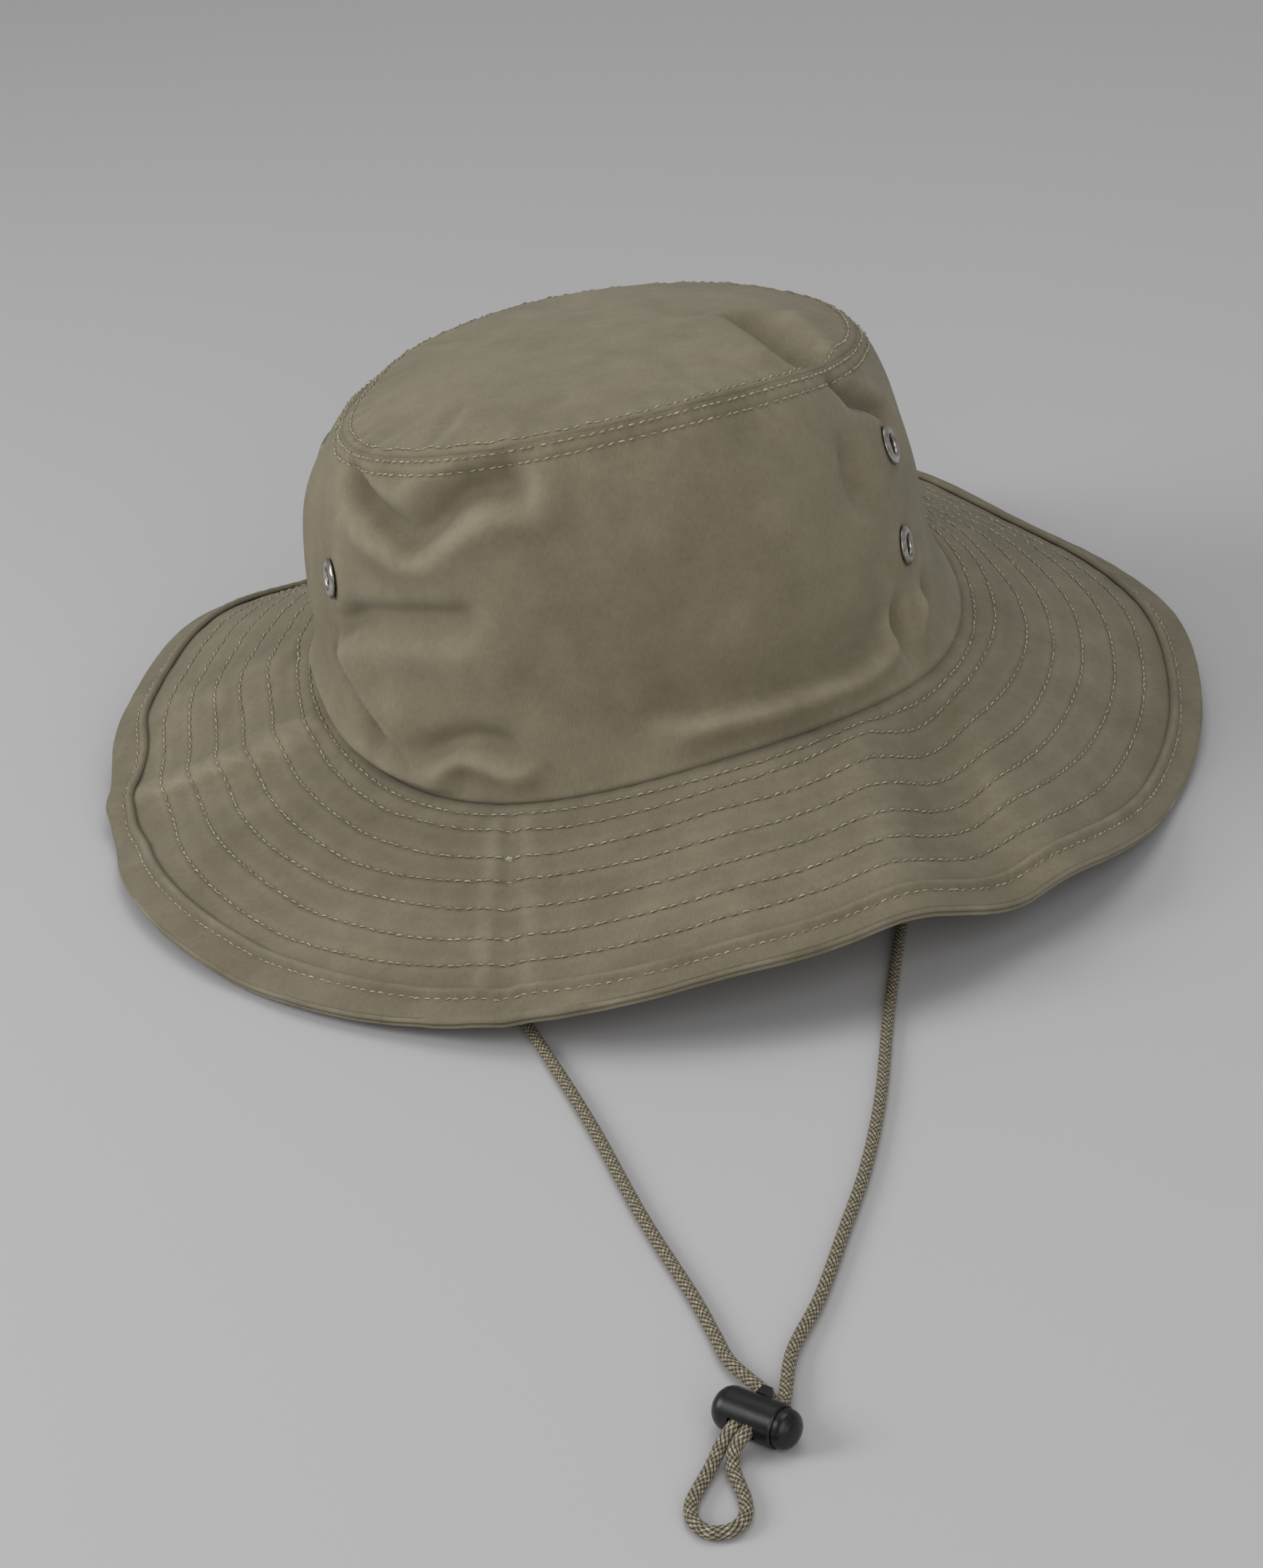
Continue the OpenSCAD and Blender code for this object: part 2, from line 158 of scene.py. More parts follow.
def braided_tube(name, points, beside):
    """A round tube whose surface is a two-over braid. Two families of yarns wind round it in
    opposite turns; at each crossing the parity of the two yarn numbers says which is on top."""
    way, at = smooth_way(points, 0.45)
    heading = unit(np.gradient(way, axis=0))
    side = unit(np.cross(heading, beside))
    up = np.cross(side, heading)
    turn = np.linspace(0, 2 * np.pi, 40, endpoint=False)[None, :]
    yarns, lead = 8, 1.9
    a = yarns * turn / (2 * np.pi) + at[:, None] / lead
    b = yarns * turn / (2 * np.pi) - at[:, None] / lead
    a_on_top = (np.floor(a) + np.floor(b)) % 2 == 0
    round_a, round_b = np.sin(np.pi * (a % 1)), np.sin(np.pi * (b % 1))
    lift = np.where(a_on_top, round_a * (0.55 + 0.45 * round_b), round_b * (0.55 + 0.45 * round_a))
    radius = cord_size / 2 - 0.24 + 0.30 * lift ** 0.7
    rings = (way[:, None, :] + radius[..., None]
             * (np.cos(turn)[..., None] * side[:, None, :] + np.sin(turn)[..., None] * up[:, None, :]))
    n, m = radius.shape
    ends = np.vstack([way[:1], way[-1:]])
    k = np.arange(m)
    first = np.stack([np.full(m, n * m), k, (k + 1) % m], 1)
    last = np.stack([np.full(m, n * m + 1), (n - 1) * m + (k + 1) % m, (n - 1) * m + k], 1)
    fleck = np.where(a_on_top, (np.floor(a) * 5 + np.floor(b) * 3) % 4 / 3, 0.15)
    piece = make_piece(name, np.vstack([rings.reshape(-1, 3), ends]),
                       grid_quads(n, m, False, True), np.vstack([first, last]),
                       {"lift": np.append(lift.ravel(), [0, 0]), "fleck": np.append(fleck.ravel(), [0, 0])})
    return piece, way * MM


left_points = [
    left_tab, left_tab - [0, 0, 9], left_tab + [2, -3, -22],
    [left_tab[0] + 5, left_tab[1] - 9, ground + 10], [left_tab[0] + 9, left_tab[1] - 20, ground + 1.2],
    [left_tab[0] + 15, left_tab[1] - 38, ground], [-66, -70, ground],
    [-54, -114, ground], [-40, -158, ground], [-28, -199, ground],
    [-17, -243, ground], [-7, -277, ground], [-3, -293, ground], [0, -305, ground + 0.6],
    on_lock(slot_middle - strand, 9, -1.6), on_lock(slot_middle - strand, 5, 0),
    on_lock(slot_middle - strand, 0.3, 0)]
right_points = [
    right_tab, right_tab - [0, 0, 9], right_tab + [-2, -3, -22],
    [right_tab[0] - 2, right_tab[1] - 9, ground + 10], [right_tab[0] - 4, right_tab[1] - 20, ground + 1.2],
    [right_tab[0] - 6, right_tab[1] - 38, ground], [72, -64, ground],
    [59, -122, ground], [51, -164, ground], [45, -201, ground],
    [38, -232, ground], [30, -258, ground], [22, -283, ground], [14, -303, ground + 0.6],
    on_lock(slot_middle + strand, 9, -1.6), on_lock(slot_middle + strand, 5, 0),
    on_lock(slot_middle + strand, 0.3, 0)]
loop_points = [
    on_lock(slot_middle - strand, -0.3, 0), on_lock(slot_middle - strand, -5, 0),
    on_lock(slot_middle - strand, -10, -1.8), [-7.2, -341, ground + 0.3],
    [-10.1, -347, ground], [-12.2, -352.5, ground], [-12, -358, ground], [-8.9, -362.2, ground],
    [-3.9, -362, ground], [-0.9, -358, ground], [-0.6, -352.5, ground], [-1.5, -347, ground],
    [-2.3, -341.8, ground + 0.3], on_lock(slot_middle + strand, -10, -1.8),
    on_lock(slot_middle + strand, -5, 0), on_lock(slot_middle + strand, -0.3, 0)]
cord_left, way_left = braided_tube("chin_cord_left", left_points, [1.0, 0, 0])
cord_right, way_right = braided_tube("chin_cord_right", right_points, [1.0, 0, 0])
cord_loop, way_loop = braided_tube("chin_cord_loop", loop_points, [0, 0, 1.0])
cords = [cord_left, cord_right, cord_loop]
lock_nodes = [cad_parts[n] for n in ("lock_body", "lock_button", "lock_spring")]
for cord in cords:
    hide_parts("chin_cord")
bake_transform(cord_left)
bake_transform(cord_right)
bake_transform(cord_loop)


def new_material(name, **settings):
    """A material, its node tree and its Principled shader, with these of its inputs set."""
    material = bpy.data.materials.new(name)
    material.use_nodes = True
    shader = material.node_tree.nodes["Principled BSDF"]
    for key, value in settings.items():
        shader.inputs[key.replace("_", " ")].default_value = value
    return material, material.node_tree, shader


def node(tree, kind, **values):
    """A shader node of this kind, with its inputs and settings by name."""
    n = tree.nodes.new("ShaderNode" + kind)
    for key, value in values.items():
        if key in n.inputs.keys():
            n.inputs[key].default_value = value
        else:
            setattr(n, key, value)
    return n


def feed(tree, value, socket):
    """Wire an output into a socket, or set the socket to a plain number or colour."""
    if isinstance(value, bpy.types.NodeSocket):
        tree.links.new(value, socket)
    else:
        socket.default_value = value


def object_noise(tree, scale, detail, rough=0.5):
    """Noise fixed to the object, so it moves with the piece."""
    place = node(tree, "TexCoord")
    noise = node(tree, "TexNoise", Scale=scale, Detail=detail, Roughness=rough)
    tree.links.new(place.outputs["Object"], noise.inputs["Vector"])
    return noise.outputs["Fac"]


def two_tones(tree, value, low, high, start=0.0, stop=1.0):
    """A colour that runs from one tone to another as the value rises from start to stop."""
    ramp = node(tree, "ValToRGB")
    for element, place, tone in zip(ramp.color_ramp.elements, (start, stop), (low, high)):
        element.position = place
        element.color = (*tone, 1)
    tree.links.new(value, ramp.inputs["Fac"])
    return ramp.outputs["Color"]


def mixed(tree, kind, factor, a, b):
    """Two colours mixed in this way; each of the three is an output or a plain value."""
    mix = node(tree, "Mix", data_type="RGBA", blend_type=kind)
    for key, value in (("Factor", factor), ("A", a), ("B", b)):
        feed(tree, value, mix.inputs[key])
    return mix.outputs["Result"]


def ranged(tree, value, low, high, to_low=0.0, to_high=1.0):
    """A value carried from one range to another and held at both ends."""
    fit = node(tree, "MapRange")
    for key, number in (("From Min", low), ("From Max", high), ("To Min", to_low), ("To Max", to_high)):
        fit.inputs[key].default_value = number
    tree.links.new(value, fit.inputs["Value"])
    return fit.outputs["Result"]


def bumped(tree, shader, height, strength, distance):
    """Shallow relief on the shader, of this depth in metres."""
    bump = node(tree, "Bump", Strength=strength, Distance=distance)
    tree.links.new(height, bump.inputs["Height"])
    tree.links.new(bump.outputs["Normal"], shader.inputs["Normal"])


# Cord colour: the yarns are painted near-black where they sink low, painted shade in the gaps between them;
# random yarns are paler.
cord_braid, tree, shader = new_material("cord_braid", Roughness=0.62, Specular_IOR_Level=0.35)
lift = node(tree, "Attribute", attribute_name="lift").outputs["Fac"]
fleck = node(tree, "Attribute", attribute_name="fleck").outputs["Fac"]
yarn = two_tones(tree, lift, (0.022, 0.018, 0.011), (0.40, 0.35, 0.245), 0.25, 0.85)
pale_yarn = mixed(tree, "MULTIPLY", 1.0, yarn, (1.75, 1.75, 1.85, 1))
tree.links.new(mixed(tree, "MIX", fleck, yarn, pale_yarn), shader.inputs["Base Color"])
bumped(tree, shader, object_noise(tree, 5200.0, 2.0), 0.5, 0.00012)
for cord in cords:
    cord.data.materials.append(cord_braid)

# --- Washed twill ------------------------------------------------------------------------
# The shell is one cotton twill, washed until the dye is patchy and the edges have paled.
# Every shell piece draws its colour, grain, wear, painted highlight and painted shade from this one group of
# nodes.
twill_pitch = 0.55
yarn_pitch = 0.34


def twill_group():
    """Cloth colour and height: broad and fine noise mix a deep and a pale tone of the dye, a
    diagonal wave in the piece's own map, in millimetres, gives the twill line, and two fields
    of the mesh pale it, with wear and painted highlight, and darken it with painted shade."""
    group = bpy.data.node_groups.new("washed_twill", "ShaderNodeTree")
    for side, sockets in (("INPUT", (("Deep", "Color"), ("Pale", "Color"), ("Patchy", "Float"))),
                          ("OUTPUT", (("Color", "Color"), ("Roughness", "Float"), ("Height", "Float")))):
        for name, kind in sockets:
            group.interface.new_socket(name, in_out=side, socket_type="NodeSocket" + kind)
    link = group.links.new
    ins = group.nodes.new("NodeGroupInput")
    outs = group.nodes.new("NodeGroupOutput")
    cloth_map = node(group, "TexCoord").outputs["UV"]
    worn = node(group, "Attribute", attribute_name="worn").outputs["Fac"]
    painted_shade = node(group, "Attribute", attribute_name="painted_shade").outputs["Fac"]

    def maths(operation, *values):
        step = node(group, "Math", operation=operation)
        for socket, value in zip(step.inputs, values):
            feed(group, value, socket)
        return step.outputs[0]

    def weighed(*pairs):
        total = 0.0
        for value, weight in pairs:
            total = maths("MULTIPLY_ADD", value, weight, total)
        return total

    broad = ranged(group, object_noise(group, 26.0, 3.0, 0.55), 0.32, 0.68)
    middle = ranged(group, object_noise(group, 95.0, 4.0, 0.6), 0.30, 0.70)
    fine = ranged(group, object_noise(group, 620.0, 3.0, 0.65), 0.30, 0.70)
    mottle = weighed((broad, 0.42), (middle, 0.36), (fine, 0.22))
    dye = maths("MULTIPLY_ADD", maths("SUBTRACT", mottle, 0.5), ins.outputs["Patchy"], 0.5)
    colour = mixed(group, "MIX", dye, ins.outputs["Deep"], ins.outputs["Pale"])
    parts = node(group, "SeparateXYZ")
    link(cloth_map, parts.inputs[0])
    diagonal = weighed((parts.outputs["X"], 1.0), (parts.outputs["Y"], 0.8))
    line = maths("SINE", weighed((diagonal, 2 * np.pi / twill_pitch), (fine, 1.4)))
    cross = maths("SINE", maths("MULTIPLY", parts.outputs["X"], 2 * np.pi / yarn_pitch))
    weave = weighed((line, 0.35), (cross, 0.15))
    # Slubs: noise drawn out along the twill line.
    slub_map = node(group, "Mapping", Rotation=(0, 0, np.radians(38)), Scale=(2.6, 0.5, 1.0))
    link(cloth_map, slub_map.inputs["Vector"])
    slub = node(group, "TexNoise", Scale=1.0, Detail=3.0, Roughness=0.6)
    link(slub_map.outputs[0], slub.inputs["Vector"])
    slubs = ranged(group, slub.outputs["Fac"], 0.3, 0.7, -1.0, 1.0)
    tone = maths("ADD", weighed((weave, 0.10), (slubs, 0.085)), 1.0)
    # Painted shade: the tone is darkened where the mesh marks seams, grooves and fold valleys.
    tone = maths("MULTIPLY", tone, maths("MULTIPLY_ADD", painted_shade, -0.55, 1.0))
    grey = node(group, "CombineXYZ")
    for k in range(3):
        link(tone, grey.inputs[k])
    colour = mixed(group, "MULTIPLY", 1.0, colour, grey.outputs[0])
    # Wear and painted highlight: a pale tone is mixed in where the mesh marks worn edges and the crests of
    # folds.
    paled_by_wear_and_highlight = maths("MULTIPLY", worn, ranged(group, middle, 0.1, 0.9, 0.35, 1.0))
    link(mixed(group, "MIX", paled_by_wear_and_highlight, colour, (0.46, 0.405, 0.300, 1)), outs.inputs["Color"])
    link(ranged(group, mottle, 0.2, 0.8, 0.92, 0.80), outs.inputs["Roughness"])
    link(weighed((weave, 0.5), (slubs, 0.7)), outs.inputs["Height"])
    return group


washed_twill = twill_group()


def cloth_material(name, deep, pale, patchy, sheen=0.12):
    """Twill group in a rough, faintly sheeny shader, with its height as a shallow bump."""
    material, tree, shader = new_material(name, Specular_IOR_Level=0.22, Sheen_Weight=sheen,
                                          Sheen_Roughness=0.55)
    twill = node(tree, "Group", node_tree=washed_twill)
    for key, value in (("Deep", (*deep, 1)), ("Pale", (*pale, 1)), ("Patchy", patchy)):
        twill.inputs[key].default_value = value
    tree.links.new(twill.outputs["Color"], shader.inputs["Base Color"])
    tree.links.new(twill.outputs["Roughness"], shader.inputs["Roughness"])
    bumped(tree, shader, twill.outputs["Height"], 0.55, 0.00011)
    return material


shell_twill = cloth_material("shell_twill", (0.190, 0.162, 0.103), (0.330, 0.286, 0.192), 0.8)
brim_twill = cloth_material("brim_twill", (0.158, 0.135, 0.087), (0.282, 0.245, 0.165), 0.9)

# --- Shape of the hat --------------------------------------------------------------------
# The head seam is nearly round and gently waved; the brim slopes away from it and droops,
# and the tip is an oval that leans back. These are the same curves as the CAD solids'.
ply, stiffener, gap = 0.7, 0.5, 0.15
head_round, brim_width, crown_height, tip_rise = 592.0, 76.0, 83.0, 11.0
brim_thick = 2 * ply + stiffener + 2 * gap
seam_mean = head_round / 2 / np.pi
set_down = np.array([-0.7511, 0.8166, 40.8263])
turn_down, sweatband_width = 7.0, 25.0


def bearing(t):
    """The angle t in degrees, from -180 to 180."""
    return (np.degrees(t) + 180) % 360 - 180


def bell(x, wide):
    """One at zero, dying away on both sides with the square of x over the width."""
    return np.exp(-(x / wide) ** 2)


def outward(t):
    """Level direction at the angle t from the front, growing towards +X."""
    return np.stack([np.sin(t), -np.cos(t), 0 * t], -1)


def oval(a, b, turn, t):
    """Radius of an ellipse of half axes a and b, turned, in the direction t."""
    return a * b / np.hypot(b * np.cos(t - turn), a * np.sin(t - turn))


def ease(x):
    """Zero to one along the cubic 3x^2 - 2x^3, held at both ends."""
    x = np.clip(x, 0, 1)
    return x * x * (3 - 2 * x)


def seam_radius(t):
    """The head seam: an ellipse two hundredths longer than wide."""
    return oval(seam_mean * 1.01, seam_mean * 0.99, np.radians(-20), t)


def droop(t):
    """Slope of the brim below the level: a sum of cosines and sines, flatter at the back."""
    c, s = np.cos, np.sin
    front = ease((np.pi - np.abs((t + np.pi) % (2 * np.pi) - np.pi)) / np.radians(70))
    return (0.438 - 0.106 * c(t) + 0.013 * s(t) - 0.020 * c(2 * t) + 0.019 * s(2 * t)
            - 0.039 * c(3 * t) - 0.031 * s(3 * t) + 0.002 * c(4 * t) + 0.008 * s(4 * t)
            + front * (0.027 * c(5 * t) - 0.061 * s(5 * t) - 0.012 * c(6 * t) + 0.027 * s(6 * t))
            - 0.21 * (1 - front))


def brim_plain(t, u, h):
    """The seam point, moved u down the slope and h along the slope's normal."""
    c, s = np.cos, np.sin
    p = droop(t)
    wave = (-2.1 * c(t) + 3.5 * s(t) - 1.6 * c(2 * t) + 1.6 * s(2 * t) + 3.6 * c(3 * t) + 3.4 * s(3 * t))
    place = outward(t) * (seam_radius(t) + u * c(p) + h * s(p))[..., None]
    place[..., 2] += wave - u * s(p) + h * c(p)
    return place + set_down


def tip_plain(t, f, h):
    """The tip: f of the way out to its seam, on a dome over a wavy oval, h upwards."""
    c, s = np.cos, np.sin
    r = seam_mean / 94 * oval(84.3, 68.4, np.radians(-33), t)
    wave = (f * (10.2 * c(t) + 2.2 * s(t)) + f ** 2 * (3.3 * c(2 * t) + 1.9 * s(2 * t))
            + f ** 3 * (0.8 * c(3 * t) - 0.5 * s(3 * t)))
    place = outward(t) * (f * r)[..., None]
    place[..., 2] += wave + tip_rise * (1 - f ** 2) + h
    return place + set_down + [-4.2, 0.9, crown_height]


def wall_plain(t, v):
    """The crown wall: from the brim seam, v = 0, to the tip seam, v = 1. It leans in with the
    cube of v and swells or sinks by sines of powers of v."""
    low, high = brim_plain(t, 0 * t, 0 * t), tip_plain(t, 1 + 0 * t, 0 * t)
    lean = np.stack([v ** 3, v ** 3, v], -1)
    swell = (1.6 * (1 - np.sin(t)) * np.sin(np.pi * v ** 1.7)
             - 4.2 * (1 + np.sin(t)) * np.sin(np.pi * v ** 0.75))
    return low + (high - low) * lean + outward(t) * swell[..., None]


def fold(x, y, way, height, wide_left, wide_right, fade):
    """Height of one fold: a bell across a smooth line of points, with its own width on the
    left and right of the line, fading in and out over its two ends. All in millimetres."""
    line, along = smooth_way(way, 3.0)
    best = np.full(x.shape, 1e9)
    side, place = np.zeros(x.shape), np.zeros(x.shape)
    for k in range(len(line) - 1):
        dx, dy = line[k + 1] - line[k]
        size = dx * dx + dy * dy + 1e-9
        raw = ((x - line[k, 0]) * dx + (y - line[k, 1]) * dy) / size
        share = np.clip(raw, 0, 1)
        ox, oy = x - line[k, 0] - share * dx, y - line[k, 1] - share * dy
        away = np.hypot(ox, oy)
        near = away < best
        best = np.where(near, away, best)
        side = np.where(near, dx * (y - line[k, 1]) - dy * (x - line[k, 0]), side)
        place = np.where(near, along[k] + share * (along[k + 1] - along[k]), place)
    wide = np.where(side > 0, wide_left, wide_right)
    ends = ease(place / fade) * ease((along[-1] - place) / fade)
    return height * ends * np.exp(-(best / wide) ** 2)


def ring_folds(folds, t, up, around, tall, fade):
    """All folds of a ring of cloth. Their lines are points of (bearing in degrees, share of the
    height tall), laid out flat with this many millimetres to a radian."""
    total = 0
    for way, height, left, right in folds:
        ends = np.array(way, float)
        middle = ends[:, 0].mean()
        x = bearing(t - np.radians(middle)) * np.radians(around)
        path = np.stack([(ends[:, 0] - middle) * np.radians(around), ends[:, 1] * tall], 1)
        total = total + fold(x, up, path, height, left, right, fade)
    return total


def ripple(x, wave, seed):
    """Uneven small waves of about this length: three sines of seeded phase and stretch."""
    rng = np.random.default_rng(seed)
    total = 0
    for k in range(3):
        total = total + np.sin(2 * np.pi * x / (wave * rng.uniform(0.7, 1.5)) + rng.uniform(0, 6.3))
    return total / 3


def normals_of(p):
    """Unit normals of a grid of points, from the cross product of its two central steps; the
    first direction closes on itself."""
    ahead, back = np.roll(p, -1, axis=0), np.roll(p, 1, axis=0)
    return unit(np.cross(ahead - back, np.gradient(p, axis=1)))


def outward_normals(p, t):
    """Normals of a ring-shaped grid at the angles t, turned away from its middle."""
    normal = normals_of(p)
    return normal * np.sign(np.sum(normal * outward(t)))


def corner_map(across, along):
    """Places in the cloth's own map, in millimetres, of the four corners of every cell."""
    i, j = np.meshgrid(np.arange(len(across) - 1), np.arange(len(along) - 1), indexing="ij")
    return np.stack([np.stack([across[a], along[b]], -1)
                     for a, b in ((i, j), (i + 1, j), (i + 1, j + 1), (i, j + 1))], 2)


def pole_fans(n, m):
    """Triangles that close n columns of m points at both ends, round two poles numbered last."""
    k = np.arange(n)
    k2 = (k + 1) % n
    return np.vstack([np.stack([np.full(n, n * m), k2 * m, k * m], 1),
                      np.stack([np.full(n, n * m + 1), k * m + m - 1, k2 * m + m - 1], 1)])


def dress(piece, solid_node, material):
    """Let a piece move with the hat in place of its solid and its material."""
    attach(piece, "hat")
    if solid_node:
        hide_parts(solid_node)
    piece.data.materials.append(material)


# --- Crown wall --------------------------------------------------------------------------
# One strip of twill set between brim and tip, soft and unlined, so it keeps the folds it was
# packed with: a deep S at its left, a roll over the brim seam and a crushed right side.
# It has a round hole behind each of its four vent eyelets.
eyelet_radius = 5.75
over_band = (sweatband_width + eyelet_radius + 1.6) / crown_height
under_seam = 1 - (turn_down + eyelet_radius + 12) / crown_height
eyelet_turn = {"left_lower": -13.0, "left_upper": 0.0, "right_lower": 9.0, "right_upper": 6.0}
eyelet_places = {"left_lower": (-63, 0.59), "left_upper": (-107, under_seam),
                 "right_lower": (63, over_band), "right_upper": (69, under_seam)}
wall_round = 95.0
wall_folds = [
    # way as (direction in degrees, share of the height), height, width left, width right
    ([(-64, .93), (-53, .86), (-46, .81), (-40, .775), (-35, .815), (-29, .885), (-22, .90), (-14, .87)],
     -8.0, 5.4, 4.4),
    ([(-64, .99), (-54, .95), (-43, .885), (-37, .93), (-29, .965), (-18, .95)], 2.0, 3.4, 3.6),
    ([(-58, .83), (-50, .78), (-42, .72), (-36, .73), (-27, .80), (-18, .83), (-8, .82)], 3.6, 7.0, 5.5),
    ([(-56, .67), (-44, .675), (-30, .67)], -0.9, 4.0, 4.0),
    ([(-66, .50), (-60, .49), (-50, .525), (-41, .545), (-32, .55), (-26, .59)], -5.4, 3.8, 5.6),
    ([(-60, .42), (-48, .45), (-36, .47), (-26, .48)], 1.5, 7.0, 7.0),
    ([(-63, .47), (-61, .39), (-57, .32), (-54, .25), (-50, .20), (-47, .14), (-44, .08)], 5.0, 10.0, 1.7),
    ([(-68, .34), (-63, .27), (-59, .21), (-56, .15), (-50, .10)], -7.0, 4.2, 4.6),
    ([(-88, .13), (-76, .10), (-66, .06), (-56, .05), (-44, .045), (-34, .05)], 4.0, 5.4, 3.2),
    ([(-45, .10), (-40, .14), (-36, .17), (-32, .18), (-27, .17), (-21, .15)], -4.4, 4.2, 2.2),
    ([(-43, .085), (-39, .095), (-36, .125), (-33, .14), (-29, .115), (-24, .09), (-18, .11)], 3.0, 2.0, 3.4),
    ([(-25, .44), (-18, .32), (-12, .22), (-5, .14), (4, .12)], -2.2, 10.0, 8.0),
    ([(-4, .20), (6, .175), (16, .165), (26, .155), (36, .145), (44, .15), (50, .17), (56, .21)],
     -4.4, 9.0, 3.4),
    ([(2, .12), (10, .11), (17, .10), (24, .095), (33, .095), (40, .095), (47, .12), (52, .18), (54, .25)],
     3.2, 2.8, 3.6),
    ([(57, .30), (56, .20), (55, .10), (55, .03)], -6.4, 3.0, 4.0),
    ([(62, .30), (63, .20), (61, .12), (60, .05)], 3.4, 3.0, 3.0),
    ([(70, .30), (69, .20), (67, .10)], -3.0, 4.0, 4.0),
    ([(53, .87), (53, .78), (51, .66), (50, .52)], -4.4, 9.0, 6.0),
    ([(57, .97), (62, .93), (69, .87), (78, .80), (84, .76)], -6.0, 2.4, 6.0),
    ([(52, .95), (58, .90), (66, .83), (74, .77)], 1.4, 3.5, 3.5),
    ([(20, .80), (12, .62), (10, .45), (16, .30)], -1.3, 15.0, 12.0),
    ([(34, .75), (32, .55), (34, .35)], 1.0, 12.0, 12.0),
    ([(110, .75), (125, .60), (135, .40), (150, .30)], -2.6, 6.0, 9.0),
    ([(170, .80), (185, .66), (200, .60), (215, .70)], -2.8, 6.0, 6.0),
    ([(150, .16), (170, .12), (190, .14), (210, .10)], -2.0, 5.0, 3.0),
    ([(225, .35), (240, .45), (255, .42)], -2.2, 6.0, 7.0),
]


def wall_relief(t, v):
    """Millimetres the cloth stands off the plain wall: its folds, fine puckers that die away
    from both seams, and a dip into each seam; flat again round every eyelet."""
    degrees = bearing(t)
    y = v * crown_height
    total = 0.55 * ripple(degrees * 1.66 + y * 0.8, 60, 3) + 0.35 * ripple(degrees * 1.66 - y, 34, 4)
    total = total + ring_folds(wall_folds, t, y, wall_round, crown_height, 12.0)
    x = degrees * np.radians(wall_round)
    top, low = crown_height - y, y
    total = total + 0.42 * ripple(x, 9.0, 11) * bell(top, 9.0)
    total = total + 0.20 * ripple(x, 4.5, 12) * bell(top - 3, 3.5)
    lower_front = ease((x + 10) / 25) * ease((105 - x) / 20)
    total = total + (0.10 + 0.22 * lower_front) * ripple(x, 3.4, 13) * bell(low - 5, 5.0)
    total = total - 0.35 * bell(top - 1.5, 0.7) - 0.25 * bell(top - 4.3, 0.7)
    keep = ease(np.minimum(top, low) / 3.0)
    total = total * (0.25 + 0.75 * keep)
    for name, (direction, share) in eyelet_places.items():
        aside = (degrees - direction) * np.radians(wall_round)
        away = np.hypot(aside, y - share * crown_height)
        total = total * ease((away - 5.0) / 9.0)
        total = total - np.tan(np.radians(eyelet_turn[name])) * aside * np.exp(-(away / 9.0) ** 4)
    total = total - 0.9 * bell(top, 0.7) - 0.35 * bell(low, 0.6)
    return total


wall_t = np.linspace(-np.pi, np.pi, 448, endpoint=False)
wall_v = np.unique(np.concatenate([
    np.linspace(0.0, 0.03, 5), np.linspace(0.03, 0.93, 70), np.linspace(0.93, 0.997, 15)]))
T, V = np.meshgrid(wall_t, wall_v, indexing="ij")
plain = wall_plain(T, V)
wall_normal = outward_normals(plain, T)
relief = wall_relief(T, V)
wall_outer = plain + wall_normal * relief[..., None]
wall_inner = plain + wall_normal * (relief - ply)[..., None]


def drilled_shell(name, outer, inner, solid, across, up, fields):
    """A closed shell between two like grids that close along their first direction. Cells that
    are not solid are left out on both faces, and every free edge is walled across."""
    n, m = outer.shape[:2]
    cell = grid_quads(n, m, True, False).reshape(n, m - 1, 4)
    edges = []
    for a, b, next_row, next_column in ((0, 1, 0, -1), (2, 3, 0, 1), (3, 0, -1, 0), (1, 2, 1, 0)):
        beyond = np.roll(solid, -next_row, axis=0)
        if next_column:
            beyond = np.zeros_like(solid)
            if next_column > 0:
                beyond[:, :-1] = solid[:, 1:]
            else:
                beyond[:, 1:] = solid[:, :-1]
        free = solid & ~beyond
        p, q = cell[free][:, a], cell[free][:, b]
        edges.append(np.stack([q, p, p + n * m, q + n * m], 1))
    quads = np.vstack([cell[solid], (cell[solid] + n * m)[:, ::-1]] + edges)
    corners = corner_map(np.append(across, 2 * across[-1] - across[-2]), up)[solid]
    uv = np.vstack([corners, corners[:, ::-1], np.zeros((sum(len(e) for e in edges), 4, 2))])
    both = {key: np.concatenate([value.ravel(), value.ravel()]) for key, value in fields.items()}
    return make_piece(name, np.vstack([outer.reshape(-1, 3), inner.reshape(-1, 3)]), quads,
                      fields=both, uv=uv)


solid = np.ones((len(wall_t), len(wall_v) - 1), bool)
cell_t = np.degrees(wall_t + np.pi / len(wall_t))[:, None]
cell_y = (wall_v[1:] + wall_v[:-1])[None, :] / 2 * crown_height
for direction, share in eyelet_places.values():
    solid &= np.hypot((cell_t - direction) * np.radians(wall_round), cell_y - share * crown_height) > 4.5
bend = relief - 0.25 * (np.roll(relief, 3, 0) + np.roll(relief, -3, 0)
                        + np.roll(relief, 3, 1) + np.roll(relief, -3, 1))
up_mm = V * crown_height
# Painted highlight pales the crests of the folds; painted shade darkens both seams, the grooves under the two
# stitched rows and the fold valleys.
wall_fields = {
    "worn": np.clip(0.35 * np.clip(bend, 0, 1.0), 0, 0.4),
    "painted_shade": np.clip(0.5 * bell(up_mm, 0.8) + 0.5 * bell(crown_height - up_mm, 0.7)
                      + 0.22 * bell(crown_height - up_mm - 1.5, 0.6)
                      + 0.20 * bell(crown_height - up_mm - 4.3, 0.6)
                      + 0.25 * np.clip(-bend, 0, 1.0), 0, 1)}
crown_wall = drilled_shell("crown_wall_cloth", wall_outer, wall_inner, solid,
                           wall_t * wall_round, wall_v * crown_height, wall_fields)
dress(crown_wall, "crown_wall", shell_twill)

